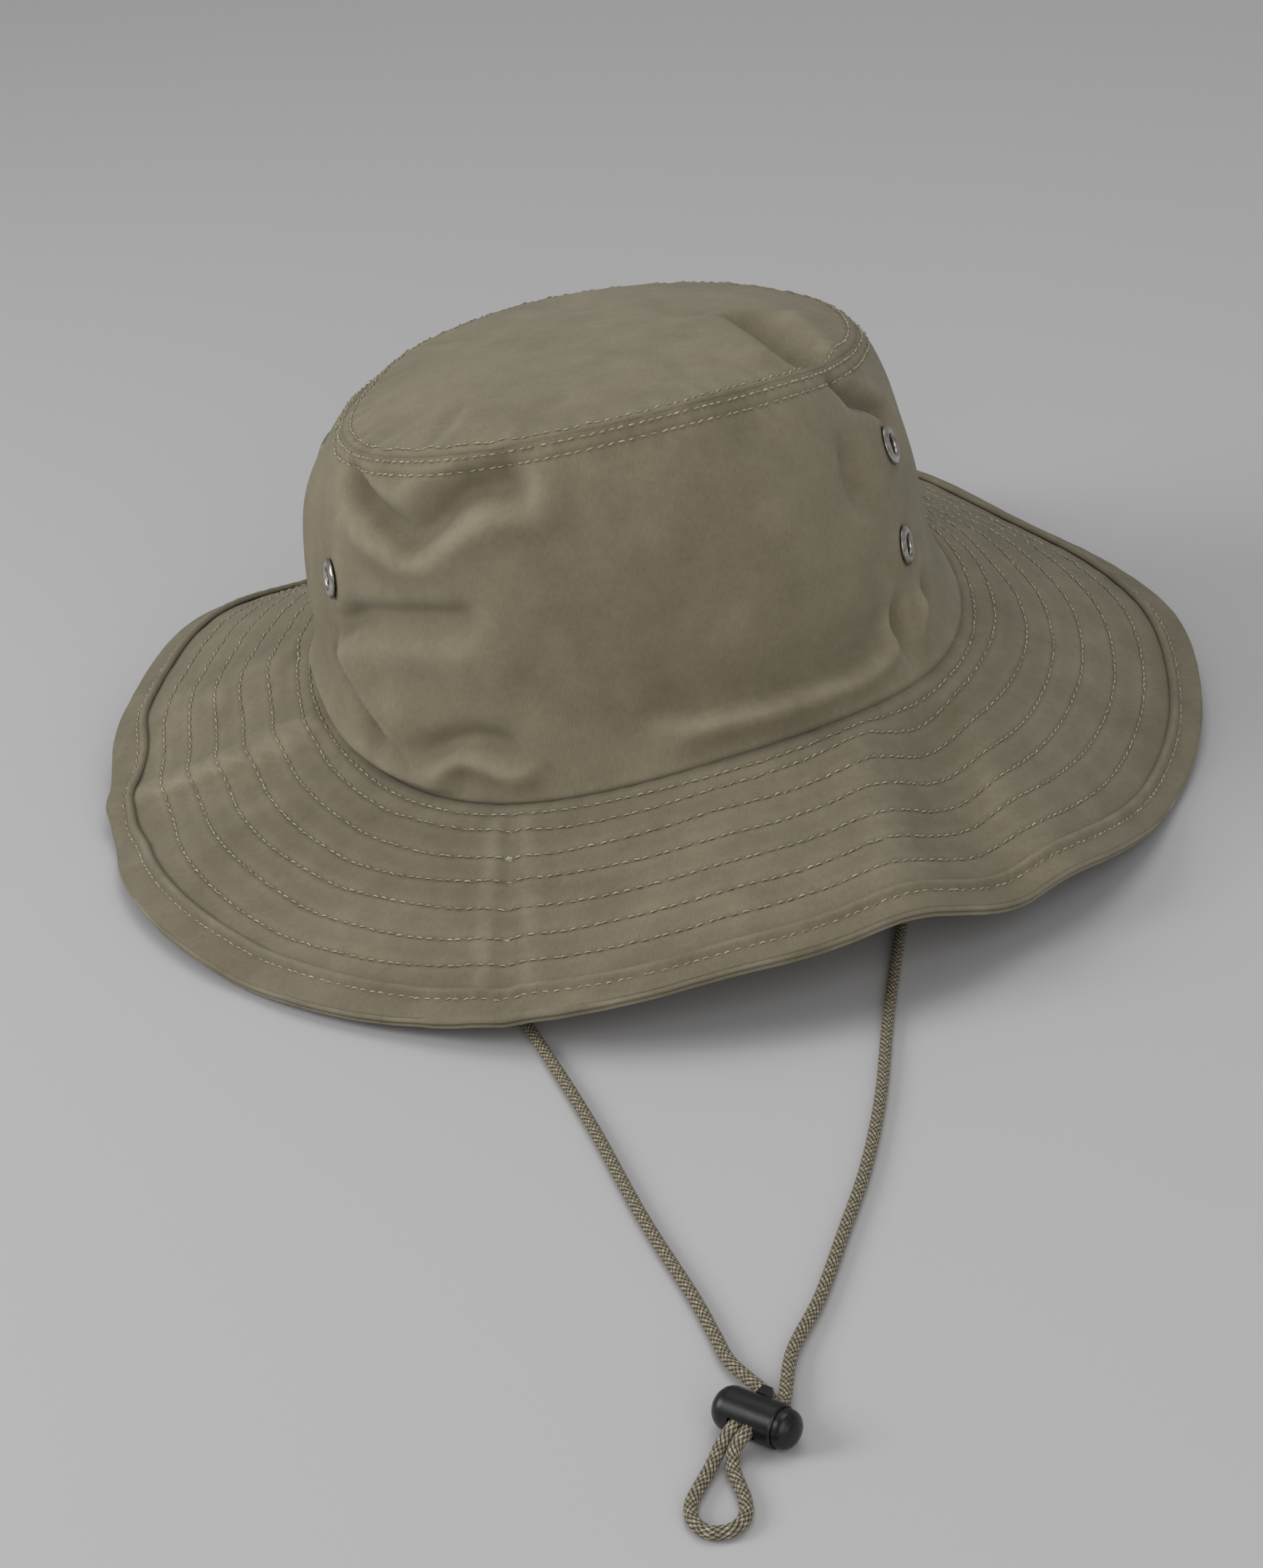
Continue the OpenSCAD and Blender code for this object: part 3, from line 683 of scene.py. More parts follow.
# --- Crown tip ---------------------------------------------------------------------------
# The oval top panel, sewn to the wall and topstitched; its seam allowance hangs inside. A
# dent runs across its right front corner, where the crown was pushed in.
tip_folds = [
    ([(107, .50), (92, .57), (79, .65), (66, .77), (59, .88), (57, 1.0)], -9.0, 10.0, 3.4),
    ([(100, .40), (78, .50), (62, .64), (52, .80), (47, .95)], 2.6, 5.0, 9.0),
    ([(112, .74), (95, .80), (78, .90), (70, 1.0)], 1.8, 5.0, 6.0),
    ([(-70, .55), (-58, .72), (-50, .92)], -1.4, 5.0, 5.0),
    ([(-48, .60), (-40, .80), (-37, 1.0)], -1.6, 3.0, 4.0),
    ([(28, .35), (27, .62), (24, .88)], -1.0, 7.0, 6.0),
    ([(-12, .45), (-15, .70), (-17, .95)], -0.9, 6.0, 5.0),
    ([(165, .30), (190, .60), (200, .90)], -1.6, 8.0, 8.0),
    ([(-120, .40), (-130, .70), (-128, .95)], -1.5, 6.0, 7.0),
]
tip_round = 76.0


def tip_relief(t, f):
    """Millimetres the tip stands off its plain dome: its folds, puckers that die away inwards
    from the seam, a groove under the stitched row and a dip into the seam."""
    x, y = f * tip_round * np.sin(t), -f * tip_round * np.cos(t)
    total = 0.6 * ripple(x + 0.4 * y, 55, 21) + 0.5 * ripple(y - 0.3 * x, 48, 22)
    for way, height, left, right in tip_folds:
        ends = np.array(way, float)
        a = np.radians(ends[:, 0])
        path = np.stack([np.sin(a), -np.cos(a)], 1) * (ends[:, 1] * tip_round)[:, None]
        total = total + fold(x, y, path, height, left, right, fade=10.0)
    edge = (1 - f) * tip_round
    total = total + 0.40 * ripple(t * tip_round, 8.5, 23) * bell(edge - 1, 7.0)
    total = total - 0.35 * bell(edge - 2.6, 0.8)
    total = total * (0.35 + 0.65 * ease(edge / 3.0))
    return total - 0.8 * bell(edge, 0.8)


tip_t = np.linspace(-np.pi, np.pi, 400, endpoint=False)
tip_f = np.concatenate([np.linspace(0.012, 0.90, 62), np.linspace(0.912, 1.0, 16)])
T, F = np.meshgrid(tip_t, tip_f, indexing="ij")
tip_lift = tip_relief(T, F)
tip_outer = tip_plain(T, F, tip_lift)
tip_inner = tip_plain(T, F, tip_lift - ply)
flap_v = np.linspace(1 - 0.9 / crown_height, 1 - turn_down / crown_height, 5)
FT, FV = np.meshgrid(tip_t, flap_v, indexing="ij")
flap_lift = wall_relief(FT, FV)
flap_base = wall_plain(FT, FV)
flap_normal = outward_normals(flap_base, FT)
flap_out = flap_base + flap_normal * (flap_lift - ply - gap)[..., None]
flap_in = flap_base + flap_normal * (flap_lift - 2 * ply - gap)[..., None]
rim = tip_plain(tip_t, 1 + 0 * tip_t, tip_lift[:, -1] - 0.5 * ply)[:, None, :]
rings = np.concatenate([tip_outer, rim, flap_out, flap_in[:, ::-1], tip_inner[:, :-2][:, ::-1]], axis=1)
n, m = rings.shape[:2]
poles = np.array([tip_outer[:, 0].mean(0), tip_inner[:, 0].mean(0)])
edge = (1 - F) * tip_round
tip_bend = tip_lift - 0.5 * (np.roll(tip_lift, 3, 0) + np.roll(tip_lift, -3, 0))
# Painted highlight pales the crests of the tip's folds; painted shade darkens the seam, the groove under the
# stitched row and the fold valleys.
tip_worn = np.clip(0.35 * np.clip(tip_bend, 0, 1), 0, 0.35)
tip_painted_shade = np.clip(0.5 * bell(edge, 0.7) + 0.20 * bell(edge - 2.6, 0.8)
                     + 0.25 * np.clip(-tip_bend, 0, 1), 0, 1)


def padded_field(field, columns):
    """A field of the outer face, followed by noughts for the other columns and both poles."""
    wide = np.concatenate([field, np.zeros((len(field), columns - field.shape[1]))], axis=1)
    return np.append(wide.ravel(), [0, 0])


tip_quads = grid_quads(n, m, True, False)
crown_tip = make_piece("crown_tip_cloth", np.vstack([rings.reshape(-1, 3), poles]), tip_quads,
                       pole_fans(n, m),
                       {"worn": padded_field(tip_worn, m), "painted_shade": padded_field(tip_painted_shade, m)},
                       uv=rings[..., :2].reshape(-1, 2)[tip_quads])
dress(crown_tip, "crown_tip", shell_twill)

# --- Brim --------------------------------------------------------------------------------
# Two plies of twill over a thin stiffener, quilted together by rings of topstitching and
# closed by one radial seam left of the front. It sags between its folds; the left side has a
# hard crease whose top has worn pale, and the right front a broad valley.
quilt_rows = [4.2, 9.6, 18.8, 28.2, 37.8, 47.6, 57.2]
brim_round = 132.0
brim_folds = [
    # way as (direction in degrees, millimetres out from the seam), height, left, right width
    ([(-27, -4), (-24, 8), (-20, 36), (-16, 80)], -0.9, 2.4, 2.0),
    ([(-30, -4), (-27, 8), (-23, 36), (-19, 80)], 0.5, 3.5, 3.5),
    ([(-24, -4), (-21, 8), (-17, 36), (-13, 80)], 0.5, 3.5, 3.5),
    ([(56, -6), (49, 10), (42, 26), (37, 44), (34, 62), (33, 84)], -6.0, 17.0, 11.0),
    ([(36, -6), (32, 10), (27, 30), (23, 52), (20, 84)], 3.0, 12.0, 12.0),
    ([(78, 0), (78, 20), (77, 45), (75, 84)], 2.4, 22.0, 22.0),
    ([(-71, -6), (-74, 8), (-77, 24), (-80, 44), (-83, 62), (-85, 84)], 2.1, 9.0, 3.0),
    ([(-67, -6), (-69, 8), (-72, 24), (-74, 44), (-77, 66), (-78, 84)], -2.9, 9.0, 12.0),
    ([(-92, 10), (-96, 40), (-98, 84)], 3.0, 18.0, 14.0),
    ([(-48, 0), (-46, 30), (-45, 84)], -1.0, 8.0, 10.0),
    ([(8, 6), (6, 40), (4, 84)], 0.8, 14.0, 12.0),
    ([(104, 10), (106, 40), (108, 84)], -2.2, 24.0, 24.0),
    ([(140, 0), (143, 40), (146, 84)], 1.6, 24.0, 22.0),
    ([(176, 0), (174, 40), (173, 84)], -2.4, 14.0, 16.0),
    ([(-140, 0), (-143, 40), (-145, 84)], 2.0, 14.0, 14.0),
]


def brim_lift(t, u):
    """Millimetres the whole brim stands off its plain slope: its named folds over slow waves
    that grow outwards."""
    degrees = bearing(t)
    total = (0.20 + 0.35 * np.clip(u, 0, 80) / 76) * ripple(degrees * 2.3, 70, 31)
    total = total + 0.22 * ripple(degrees * 2.0 + 0.7 * u, 38, 32) * ease((74 - u) / 20)
    total = total + ring_folds(brim_folds, t, u, brim_round, 1.0, 8.0) * ease((u + 4) / 16)
    return total * ease((u + 1) / 10)


def row_wander(t, k):
    """How far quilting row k strays from its ring: a slow wave under half a millimetre."""
    return 0.45 * np.sin(3 * t + 1.7 * k) + 0.25 * np.sin(7 * t + 2.3 * k)


def quilting(t, u):
    """Relief of one ply: a groove along every stitched row, puffed cloth between them, and
    short puckers across each row."""
    total = 0.16 * ripple(t * brim_round + u, 13, 41)
    for k, row in enumerate(quilt_rows):
        away = u - row - row_wander(t, k)
        total = total - 0.42 * bell(away, 0.75)
        total = total + 0.17 * ripple(t * (94 + row), 5.2, 50 + k) * bell(away, 3.6)
    return total


def brim_place(t, u, h):
    """A point of the draped brim: its plain place, lifted by the folds along the slope."""
    return brim_plain(t, u, h + brim_lift(t, u))


def ply_steps(outer):
    """Rows of a ply from the seam outwards, closer together beside every stitched row."""
    close = np.concatenate([row + np.array([-1.3, -0.65, 0, 0.65, 1.3]) for row in quilt_rows])
    steps = np.sort(np.concatenate([np.arange(-0.6, outer, 1.35), close]))
    return steps[np.concatenate([[True], np.diff(steps) > 0.3])]


def layer_ring(name, upper, lower, t, along, fields=None):
    """A closed ring of cloth between two grids of points that share their rows."""
    both = np.concatenate([upper, lower[:, ::-1]], axis=1)
    uv = corner_map(np.append(t, t[0] + 2 * np.pi) * brim_round,
                    np.concatenate([along, along[::-1], along[:1]])).reshape(-1, 4, 2)
    filled = {key: np.concatenate([value, value[:, ::-1]], axis=1).ravel()
              for key, value in (fields or {}).items()}
    return make_piece(name, both.reshape(-1, 3), grid_quads(*both.shape[:2], True, True),
                      fields=filled, uv=uv)


def ply_fields(t, u):
    """Paleness and shade of one ply: painted highlight on the crests of the folds, paler cloth
    just outside every stitched row, pale wear streaks along the hard fold on the left, and
    painted shade in the grooves of the rows and in the seam.
    """
    lift = brim_lift(t, u)
    crest = lift - 0.5 * (np.roll(lift, 4, 0) + np.roll(lift, -4, 0))
    aways = [np.abs(u - row - row_wander(t, k)) for k, row in enumerate(quilt_rows)]
    groove = sum(bell(away, 0.55) for away in aways)
    beside = sum(bell(away - 1.7, 1.3) for away in aways)
    seam = bell(u + 0.2, 1.0)
    streak_x = (bearing(t) + 71 + 0.19 * u) * np.radians(94 + u)
    streaks = bell(streak_x, 1.6) * (0.55 + 0.45 * ripple(u + 3 * streak_x, 9, 61))
    for offset, seed in ((-6.5, 62), (-11.5, 63), (5.0, 64)):
        streaks = streaks + 0.45 * bell(streak_x - offset, 1.0) * np.clip(ripple(u, 26, seed), 0, 1)
    worn = 0.10 * beside + 0.30 * np.clip(crest, 0, 1) + 0.45 * np.clip(streaks, 0, 1) * ease((u - 3) / 10)
    return {"worn": np.clip(worn, 0, 0.6), "painted_shade": np.clip(0.42 * groove + 0.45 * seam, 0, 1)}


brim_t = np.linspace(-np.pi, np.pi, 620, endpoint=False)
top_u = ply_steps(73.5)
T, U = np.meshgrid(brim_t, top_u, indexing="ij")
relief = quilting(T, U) - 0.35 * bell(U + 0.4, 0.7)
brim_top = layer_ring("brim_top_cloth", brim_place(T, U, relief), brim_place(T, U, relief * 0.6 - ply),
                      brim_t, top_u, ply_fields(T, U))

under_t = np.linspace(-np.pi, np.pi, 400, endpoint=False)
T, U = np.meshgrid(under_t, top_u, indexing="ij")
under_h = -ply - 2 * gap - stiffener
relief = -quilting(T, U)
brim_under = layer_ring("brim_under_cloth", brim_place(T, U, under_h),
                        brim_place(T, U, -brim_thick + relief * 0.8), under_t, top_u, ply_fields(T, U))
stiff_u = np.linspace(2, 73, 12)
T, U = np.meshgrid(under_t[::2], stiff_u, indexing="ij")
brim_core = layer_ring("brim_stiffener_web", brim_place(T, U, -ply - gap),
                       brim_place(T, U, -ply - gap - stiffener), under_t[::2], stiff_u)
web, tree, shader = new_material("stiffener_web", Roughness=0.9)
fibres = two_tones(tree, object_noise(tree, 900.0, 4.0), (0.40, 0.38, 0.33), (0.58, 0.56, 0.50))
tree.links.new(fibres, shader.inputs["Base Color"])
dress(brim_top, "brim_top", brim_twill)
dress(brim_under, "brim_under", brim_twill)
dress(brim_core, "brim_stiffener", web)

# --- Brim binding ------------------------------------------------------------------------
# A strip of the same twill, folded over the brim edge. Its turned-in inner edge makes a
# raised cord, edge-stitched just outside; it is laid in by hand, so it wanders, puckers at
# the left front and laps over itself beside the radial seam.
def binding_inner(t):
    """Distance from the seam to the binding's inner edge: a slow wave, with a jog outwards at
    the hard fold on the left."""
    degrees = bearing(t)
    jog = 2.4 * bell(degrees + 80, 4.0) - 2.6 * bell(degrees + 93, 5.0)
    return (65.6 + 0.9 * np.sin(2 * t + 0.6) + 0.6 * np.sin(5 * t + 2.0) + jog
            + 0.9 * bell(degrees + 20, 6.0))


binding_t = np.linspace(-np.pi, np.pi, 760, endpoint=False)
inner_edge = binding_inner(binding_t)
degrees = np.degrees(binding_t)
strip_step = 0.62
# Profile of the strip: (share of the way from inner edge to rim, millimetres added, height).
profile = smooth_way([
    [0, 0.5, 0.02], [0, -0.05, 0.25], [0, -0.2, 0.85], [0, 0.2, 1.65], [0, 0.95, 2.0], [0, 1.75, 1.8],
    [0, 2.45, 1.15], [0, 3.1, 0.66], [0, 3.7, 0.70], [0.45, 2.3, 1.02], [0.7, 1.5, 1.08], [0.9, 0.6, 0.92],
    [1, -0.5, 0.66], [1, 0.25, 0.25], [1, 0.40, -0.3], [1, 0.05, -0.85], [1, -0.75, -1.15],
    [1, -0.35, -1.35], [1, 0.25, -1.65], [1, 0.30, -2.1], [1, -0.1, -2.6], [1, -0.8, -2.95],
    [0.8, 0, -3.05], [0.4, 0, -3.05], [0, 1.2, -3.05], [0, 0.2, -2.95], [0, 0.1, -2.5],
    [0.5, 0, -2.38], [1, -2.4, -2.38], [1, -1.9, -1.9], [1, -1.9, -0.5], [1, -2.4, 0.0], [0.5, 0, 0.02]],
    strip_step)[0]
share, shift, height = profile.T
T, S = np.meshgrid(binding_t, np.arange(len(profile)), indexing="ij")
span = (brim_width - inner_edge)[:, None]
U = inner_edge[:, None] + share * span + shift
upper = (height > 0.3).astype(float)
rough_patch = (1.6 * bell(degrees + 19, 8.0) + 0.9 * bell(degrees - 15, 5.0)
               + 0.9 * bell(degrees - 42, 6.0) + 0.7 * bell(degrees + 83, 7.0))
pucker = ((0.16 + 0.30 * rough_patch)[:, None]
          * ripple(T * 165 + 1.2 * U, 6.0, 71) * upper * bell(U - inner_edge[:, None] - 3.6, 3.2))
edge_wave = 0.07 * ripple(T * 168, 11.0, 72) * bell(U - brim_width, 3.0)
cord_wave = ((0.10 + 0.35 * rough_patch)[:, None] * ripple(T * 160, 7.0, 73)
             * bell(U - inner_edge[:, None] - 1.0, 1.2))
lap = 0.55 * (ease((degrees + 24.5) / 0.8) - ease((degrees + 13) / 9.0))
H = height + pucker + edge_wave + cord_wave * upper + lap[:, None] * (upper - 0.25 * (height < -0.9))
U = U + 0.12 * ripple(T * 166, 30.0, 74) * bell(U - brim_width, 2.5) + lap[:, None] * 0.5 * (share > 0.95)
binding_points = brim_place(T, U, H)
# Painted shade: a dark line in the groove under the rolled rim, a shadow line along the inner step of the
# cord and a faint line along the stitching. The pale rim and cord top are wear.
rim_groove_shade = bell(height + 1.18, 0.22) * (share > 0.9) * (shift > -1.4)
cord_step_shadow = bell(shift, 0.35) * (share == 0) * (height < 0.7) * (height > -0.5)
stitch_groove_shade = bell(shift - 3.3, 0.5) * (share < 0.1) * (height > 0)
rim_pale = (share > 0.9) * (bell(height - 0.35, 0.6) * (height > -0.5) + 0.8 * bell(height + 1.6, 0.6))
cord_pale = bell(shift - 1.0, 0.8) * (share < 0.05) * (height > 0.9)
wear_wave = 0.55 + 0.45 * ripple(T * 165, 23, 75)
binding_fields = {
    "worn": np.clip((0.55 * rim_pale + 0.35 * cord_pale) * wear_wave, 0, 0.8),
    "painted_shade": np.clip(rim_groove_shade + cord_step_shadow + 0.35 * stitch_groove_shade + 0 * T, 0, 1)}
n, m = T.shape
uv = corner_map(np.append(binding_t, binding_t[0] + 2 * np.pi) * 165, np.arange(m + 1) * strip_step)
binding = make_piece("brim_binding_strip", binding_points.reshape(-1, 3), grid_quads(n, m, True, True),
                     fields={key: value.ravel() for key, value in binding_fields.items()},
                     uv=uv.reshape(-1, 4, 2))
dress(binding, "brim_binding", brim_twill)

# --- Topstitching ------------------------------------------------------------------------
# Lockstitch in pale cotton thread: seven rings through the brim, one along the binding, one
# inside the tip seam and two below it. Each stitch is a short bent grain of thread.
thread, tree, shader = new_material("thread_cotton", Roughness=0.7, Specular_IOR_Level=0.3)
twist = two_tones(tree, object_noise(tree, 420.0, 2.0), (0.30, 0.262, 0.180), (0.62, 0.555, 0.405),
                  0.3, 0.72)
tree.links.new(twist, shader.inputs["Base Color"])
thread_radius, stitch_share, stitch_lift = 0.25, 0.64, 0.05


def stitch_row(name, line, pitch, seed):
    """Stitches along a closed line of points with its surface normals. Each is a six-sided
    grain, thick in the middle, whose ends dip into the cloth along an arc."""
    rng = np.random.default_rng(seed)
    points, normals = (np.vstack([data, data[:1]]) for data in line)
    far = np.concatenate([[0], np.cumsum(np.linalg.norm(np.diff(points, axis=0), axis=1))])
    count = int(far[-1] / pitch)
    at = (np.arange(count) + 0.12 * rng.standard_normal(count)) * far[-1] / count

    def pick(s, data):
        return np.stack([np.interp(s % far[-1], far, data[:, k]) for k in range(3)], 1)

    along = unit(pick(at + 0.8, points) - pick(at - 0.8, points))
    up = unit(pick(at, normals))
    beside = unit(np.cross(up, along))
    slant = 0.10 * rng.standard_normal((count, 1)) + 0.10
    along, beside = unit(along + slant * beside), unit(beside - slant * along)
    stations = np.array([-1, -0.72, 0, 0.72, 1]) * pitch * stitch_share / 2
    girth = np.array([0.35, 0.85, 1.0, 0.85, 0.35])[:, None] * thread_radius
    arc = np.array([-0.20, 0.06, 0.17, 0.06, -0.20])[:, None] + stitch_lift
    turn = np.arange(6) * np.pi / 3
    width = rng.uniform(0.85, 1.15, (count, 1, 1))
    sideways = girth * width * np.cos(turn)
    upwards = girth * width * 0.8 * np.sin(turn) + arc
    along, beside, up = (way[:, None, None, :] for way in (along, beside, up))
    grains = (pick(at, points)[:, None, None, :] + stations[None, :, None, None] * along
              + sideways[..., None] * beside + upwards[..., None] * up)
    first_points = np.arange(count)[:, None, None] * 30
    fan = np.array([[0, 1, 2], [0, 2, 3], [0, 3, 4], [0, 4, 5]])
    caps = np.vstack([fan, fan[:, ::-1] + 24])
    first = np.cross(grains[0, 0, 1] - grains[0, 0, 0], grains[0, 1, 0] - grains[0, 0, 0])
    if np.dot(first, grains[0, 0, 0] - grains[0, 0].mean(0)) < 0:
        caps = caps[:, ::-1]
    piece = make_piece(name, grains.reshape(-1, 3),
                       (first_points + grid_quads(5, 6, False, True)).reshape(-1, 4),
                       (first_points + caps).reshape(-1, 3))
    dress(piece, None, thread)


def line_on(here, beside):
    """A line of points on a surface, with normals found from a neighbour line beside it."""
    ahead = np.roll(here, -1, axis=0) - np.roll(here, 1, axis=0)
    normal = unit(np.cross(ahead, beside - here))
    return here, normal * np.sign(normal[:, 2:3] + 1e-6)


row_t = np.linspace(-np.pi, np.pi, 1500, endpoint=False)


def quilt_line(u):
    """Points just over the quilted ply, u from the seam."""
    return brim_place(row_t, u, quilting(row_t, u) + 0.30)


for k, row in enumerate(quilt_rows):
    u = row + row_wander(row_t, k)
    stitch_row(f"brim_topstitch_{k + 1}", line_on(quilt_line(u), quilt_line(u + 0.3)), 3.05, 100 + k)
stitch_step = pucker * (np.abs(shift - 3.3) < 0.4)
strip_top = 0.70 + np.interp(row_t, binding_t, stitch_step.max(1) + stitch_step.min(1) + lap)
strip_u = binding_inner(row_t) + 3.35
stitch_row("binding_edgestitch", line_on(brim_place(row_t, strip_u, strip_top),
                                         brim_place(row_t, strip_u + 0.3, strip_top)), 2.9, 120)


def wall_line(drop):
    """A line this far below the tip seam on the draped wall, with the wall's normals."""
    v = 1 - np.array([drop + 0.5, drop, drop - 0.5]) / crown_height
    T, V = np.meshgrid(row_t, v, indexing="ij")
    base = wall_plain(T, V)
    here = base + outward_normals(base, T) * (wall_relief(T, V) + 0.24)[..., None]
    return here[:, 1], outward_normals(here, T)[:, 1]


def tip_line(inset):
    """A line this far inside the tip seam on the draped tip."""
    f = 1 - inset / tip_round
    return tip_plain(row_t, f, tip_relief(row_t, f) + 0.24)


stitch_row("wall_topstitch_upper", wall_line(1.5), 2.7, 130)
stitch_row("wall_topstitch_lower", wall_line(4.3), 2.9, 131)
stitch_row("tip_topstitch", line_on(tip_line(2.6), tip_line(3.0)), 2.8, 132)

# --- Sweatband and cord tabs -------------------------------------------------------------
# A 25 mm cotton tape sewn inside the head opening, and a folded tape tab over each cord end.
band_tape = cloth_material("band_tape", (0.165, 0.145, 0.105), (0.225, 0.200, 0.150), 0.6, sheen=0.05)
band_t = np.linspace(-np.pi, np.pi, 360, endpoint=False)
band_v = np.linspace(0.012, sweatband_width / crown_height, 16)
T, V = np.meshgrid(band_t, band_v, indexing="ij")
base = wall_plain(T, V)
normal = outward_normals(base, T)
sag = -0.35 + np.minimum(wall_relief(T, V), 0) + 0.25 * ripple(T * wall_round, 17, 81) * ease(V / 0.2)
hem = 0.35 * bell((V - band_v[-1]) * crown_height + 1.2, 0.7)
face = base + normal * (sag - 2 * ply - gap - hem)[..., None]
back = base + normal * (sag - ply - gap)[..., None]
# Painted shade darkens the tape along its lower edge at the head seam.
sweatband = layer_ring("sweatband_tape", back, face, band_t, band_v * crown_height,
                       {"worn": 0 * T, "painted_shade": 0.5 * bell((V - 0.012) * crown_height, 2.0)})
dress(sweatband, "sweatband", band_tape)


def tape_tab(name, solid_node, turned):
    """A folded tab: rounded rectangles stacked up the cord, drawn in at the top and bottom
    and pinched in along the middle where it is stitched down."""
    low, high = (np.array(corner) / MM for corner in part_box(solid_node))
    centre, tall = (low + high) / 2, high[2] - low[2]
    turn = np.linspace(0, 2 * np.pi, 32, endpoint=False)
    level = np.linspace(0, 1, 15)
    A, L = np.meshgrid(turn, level, indexing="ij")
    full = 1 - 0.16 * np.abs(2 * L - 1) ** 6 - 0.10 * bell(L - 0.5, 0.08)
    x = 6.3 * np.sign(np.cos(A)) * np.abs(np.cos(A)) ** 0.45 * (1 - 0.05 * np.abs(2 * L - 1) ** 6)
    y = 2.5 * np.sign(np.sin(A)) * np.abs(np.sin(A)) ** 0.55 * full
    c, s = np.cos(turned), np.sin(turned)
    ring = np.stack([centre[0] + x * c - y * s, centre[1] + x * s + y * c,
                     low[2] + 0.1 + (tall - 0.2) * L], -1)
    ends = ring[:, [0, -1]].mean(0)
    quads = grid_quads(*A.shape, True, False)
    flat = np.stack([A * 5, L * tall], -1).reshape(-1, 2)
    # Painted shade darkens the pinch along the middle of the tab.
    piece = make_piece(name, np.vstack([ring.reshape(-1, 3), ends]), quads, pole_fans(*A.shape),
                       uv=flat[quads],
                       fields={"painted_shade": np.append(0.6 * bell(L - 0.5, 0.08), [0, 0])})
    dress(piece, solid_node, band_tape)


tape_tab("cord_tab_left_tape", "cord_tab_left", np.radians(-86))
tape_tab("cord_tab_right_tape", "cord_tab_right", np.radians(86))

# --- Vent eyelets ------------------------------------------------------------------------
# Four nickel-plated brass eyelets with washers. Each is drawn from one disc: a rolled flange
# outside, a funnel into the barrel, and the barrel's end curled over the washer inside. The
# plating is bright, with fine scratches, tarnish in the roll and a hint of brass at the rim.
nickel, tree, shader = new_material("nickel", Metallic=1.0)
cloud = object_noise(tree, 380.0, 4.0, 0.6)
plate = two_tones(tree, cloud, (0.36, 0.33, 0.28), (0.66, 0.64, 0.60), 0.35, 0.62)
rolled = node(tree, "Attribute", attribute_name="rolled").outputs["Fac"]
tree.links.new(mixed(tree, "MIX", rolled, plate, (0.20, 0.16, 0.10, 1)), shader.inputs["Base Color"])
tree.links.new(ranged(tree, cloud, 0.0, 1.0, 0.16, 0.42), shader.inputs["Roughness"])
scratch_map = node(tree, "Mapping", Scale=(1.0, 1.0, 9.0))
tree.links.new(node(tree, "TexCoord").outputs["Object"], scratch_map.inputs["Vector"])
scratch = node(tree, "TexNoise", Scale=1900.0, Detail=3.0)
tree.links.new(scratch_map.outputs[0], scratch.inputs["Vector"])
bumped(tree, shader, scratch.outputs["Fac"], 0.12, 0.00005)


def turned_ring(name, solid_node, centre, axis, profile):
    """A closed profile of (radius, height) points carried round an axis."""
    profile = np.array(profile, float)
    side = unit(np.cross(axis, [0.0, 0.0, 1.0]))
    across = np.cross(axis, side)
    turn = np.linspace(0, 2 * np.pi, 56, endpoint=False)
    round_way = np.cos(turn)[:, None] * side + np.sin(turn)[:, None] * across
    points = (centre + profile[None, :, 0:1] * round_way[:, None, :] + profile[None, :, 1:2] * axis)
    radius = profile[:, 0]
    tarnished = np.clip(bell(radius - 5.7, 0.25) + 0.5 * bell(radius - 3.3, 0.3), 0, 1)
    piece = make_piece(name, points.reshape(-1, 3), grid_quads(len(turn), len(profile), True, True),
                       fields={"rolled": np.tile(tarnished * 0.6, len(turn))})
    dress(piece, solid_node, nickel)


flange = smooth_way([[3.0, 0.7], [3.08, 1.15], [3.5, 1.5], [4.1, 1.58], [4.8, 1.42], [5.4, 1.05],
                     [5.72, 0.62], [5.62, 0.34], [5.2, 0.28], [4.4, 0.45], [3.75, 0.42], [3.55, 0.0],
                     [3.52, -1.2], [3.6, -1.75], [4.15, -2.05], [4.3, -2.4], [3.9, -2.62],
                     [3.3, -2.45], [3.02, -1.8], [3.0, -0.6], [3.0, 0.5]], 0.28)[0]
washer = [[3.62, -1.78], [3.7, -1.38], [4.6, -1.32], [5.5, -1.36], [5.74, -1.5], [5.74, -1.66],
          [5.5, -1.8], [4.6, -1.84]]
for name, (direction, share) in eyelet_places.items():
    t = np.radians(direction)
    step = np.radians(3.0)
    grid_t, grid_v = np.meshgrid([t - step, t, t + step], [share - 0.04, share, share + 0.04],
                                 indexing="ij")
    spot = wall_plain(grid_t, grid_v)
    axis = unit(np.cross(spot[2, 1] - spot[0, 1], spot[1, 2] - spot[1, 0]))
    axis = axis * np.sign(np.dot(axis, outward(np.array(t))))
    turned = np.radians(eyelet_turn[name])
    axis = np.array([axis[0] * np.cos(turned) - axis[1] * np.sin(turned),
                     axis[0] * np.sin(turned) + axis[1] * np.cos(turned), axis[2]])
    turned_ring(f"eyelet_{name}_metal", f"eyelet_{name}", spot[1, 1], axis, flange)
    turned_ring(f"washer_{name}_metal", f"washer_{name}", spot[1, 1], axis, washer)

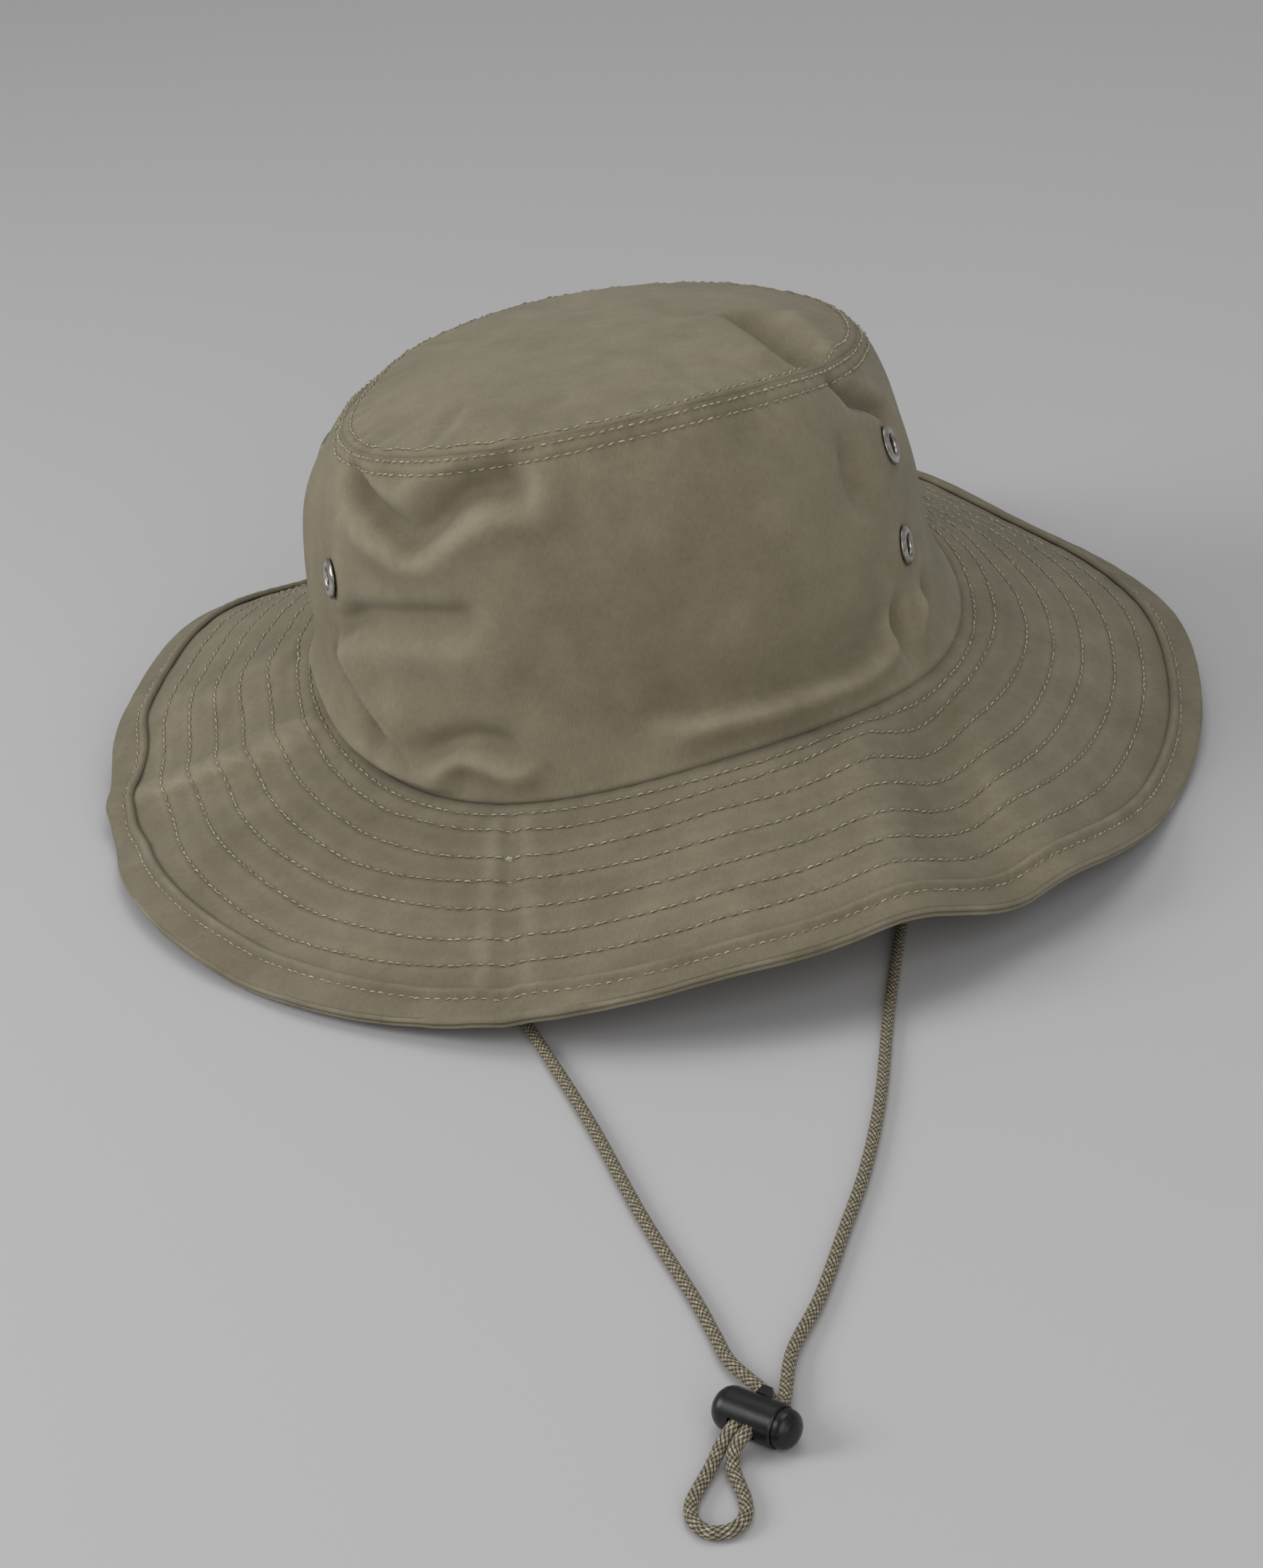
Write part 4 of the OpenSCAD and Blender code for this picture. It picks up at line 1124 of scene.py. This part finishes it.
# --- Cord lock ---------------------------------------------------------------------------
# A moulded acetal lock: a barrel lying across the cord, a button pushed out by a coil spring
# and a small lug. The black plastic is satin, with moulding ripple and light scuffs.
lock_plastic, tree, shader = new_material("lock_plastic")
scuff = object_noise(tree, 900.0, 5.0, 0.7)
black = two_tones(tree, scuff, (0.0035, 0.0035, 0.0034), (0.010, 0.0098, 0.0093), 0.45, 0.75)
tree.links.new(black, shader.inputs["Base Color"])
tree.links.new(ranged(tree, object_noise(tree, 140.0, 3.0), 0.0, 1.0, 0.20, 0.46),
               shader.inputs["Roughness"])
bumped(tree, shader, scuff, 0.15, 0.00006)
spring_steel, tree, shader = new_material("spring_steel", Metallic=1.0, Roughness=0.32)
drawn = two_tones(tree, object_noise(tree, 1500.0, 2.0), (0.30, 0.30, 0.31), (0.55, 0.55, 0.56))
tree.links.new(drawn, shader.inputs["Base Color"])
for part, finish in zip(lock_nodes, (lock_plastic, lock_plastic, spring_steel)):
    part.data.materials.clear()
    part.data.materials.append(finish)

# --- Studio ------------------------------------------------------------------------------
# A pale matt floor that curves up far behind, a soft light low on the left, one overhead, a
# wide one from the right front and a dim even sky.
sweep_x = np.linspace(-6.0, 6.0, 25)
sweep_s = np.linspace(0, 1, 49)
along = -5.0 + 13.0 * sweep_s
rise = 2.2 * ease((along - 4.0) / 4.0)
X, Y = np.meshgrid(sweep_x, along, indexing="ij")
Z = np.broadcast_to(rise, X.shape)
mesh = bpy.data.meshes.new("studio_floor")
mesh.from_pydata(np.stack([X, Y, Z], -1).reshape(-1, 3).tolist(), [],
                 grid_quads(len(sweep_x), len(along), False, False).tolist())
mesh.update()
floor = bpy.data.objects.new("studio_floor", mesh)
bpy.context.scene.collection.objects.link(floor)
paper = new_material("studio_paper", Base_Color=(0.60, 0.592, 0.598, 1), Roughness=0.9,
                     Specular_IOR_Level=0.15)[0]
floor.data.materials.append(paper)


def soft_light(name, place, aim, size, watts):
    """A square area light at a place, turned to its aim."""
    lamp = bpy.data.lights.new(name, "AREA")
    lamp.size = size
    lamp.energy = watts
    holder = bpy.data.objects.new(name, lamp)
    way = Vector(aim) - Vector(place)
    holder.matrix_world = Matrix.Translation(place) @ way.to_track_quat("-Z", "Y").to_matrix().to_4x4()
    bpy.context.scene.collection.objects.link(holder)


soft_light("key_softbox", (-1.25, -0.25, 0.8), (0, -0.05, 0.05), 0.7, 7.6)
soft_light("top_softbox", (0.10, 0.15, 1.40), (0, -0.05, 0.03), 0.9, 3.8)
soft_light("front_fill", (0.3, -1.6, 0.9), (0, -0.1, 0.05), 1.4, 8.8)
sky = bpy.data.worlds.new("studio_sky")
sky.use_nodes = True
sky.node_tree.nodes["Background"].inputs["Color"].default_value = (0.78, 0.79, 0.80, 1)
sky.node_tree.nodes["Background"].inputs["Strength"].default_value = 0.38
bpy.context.scene.world = sky
bpy.context.scene.view_settings.view_transform = "Standard"
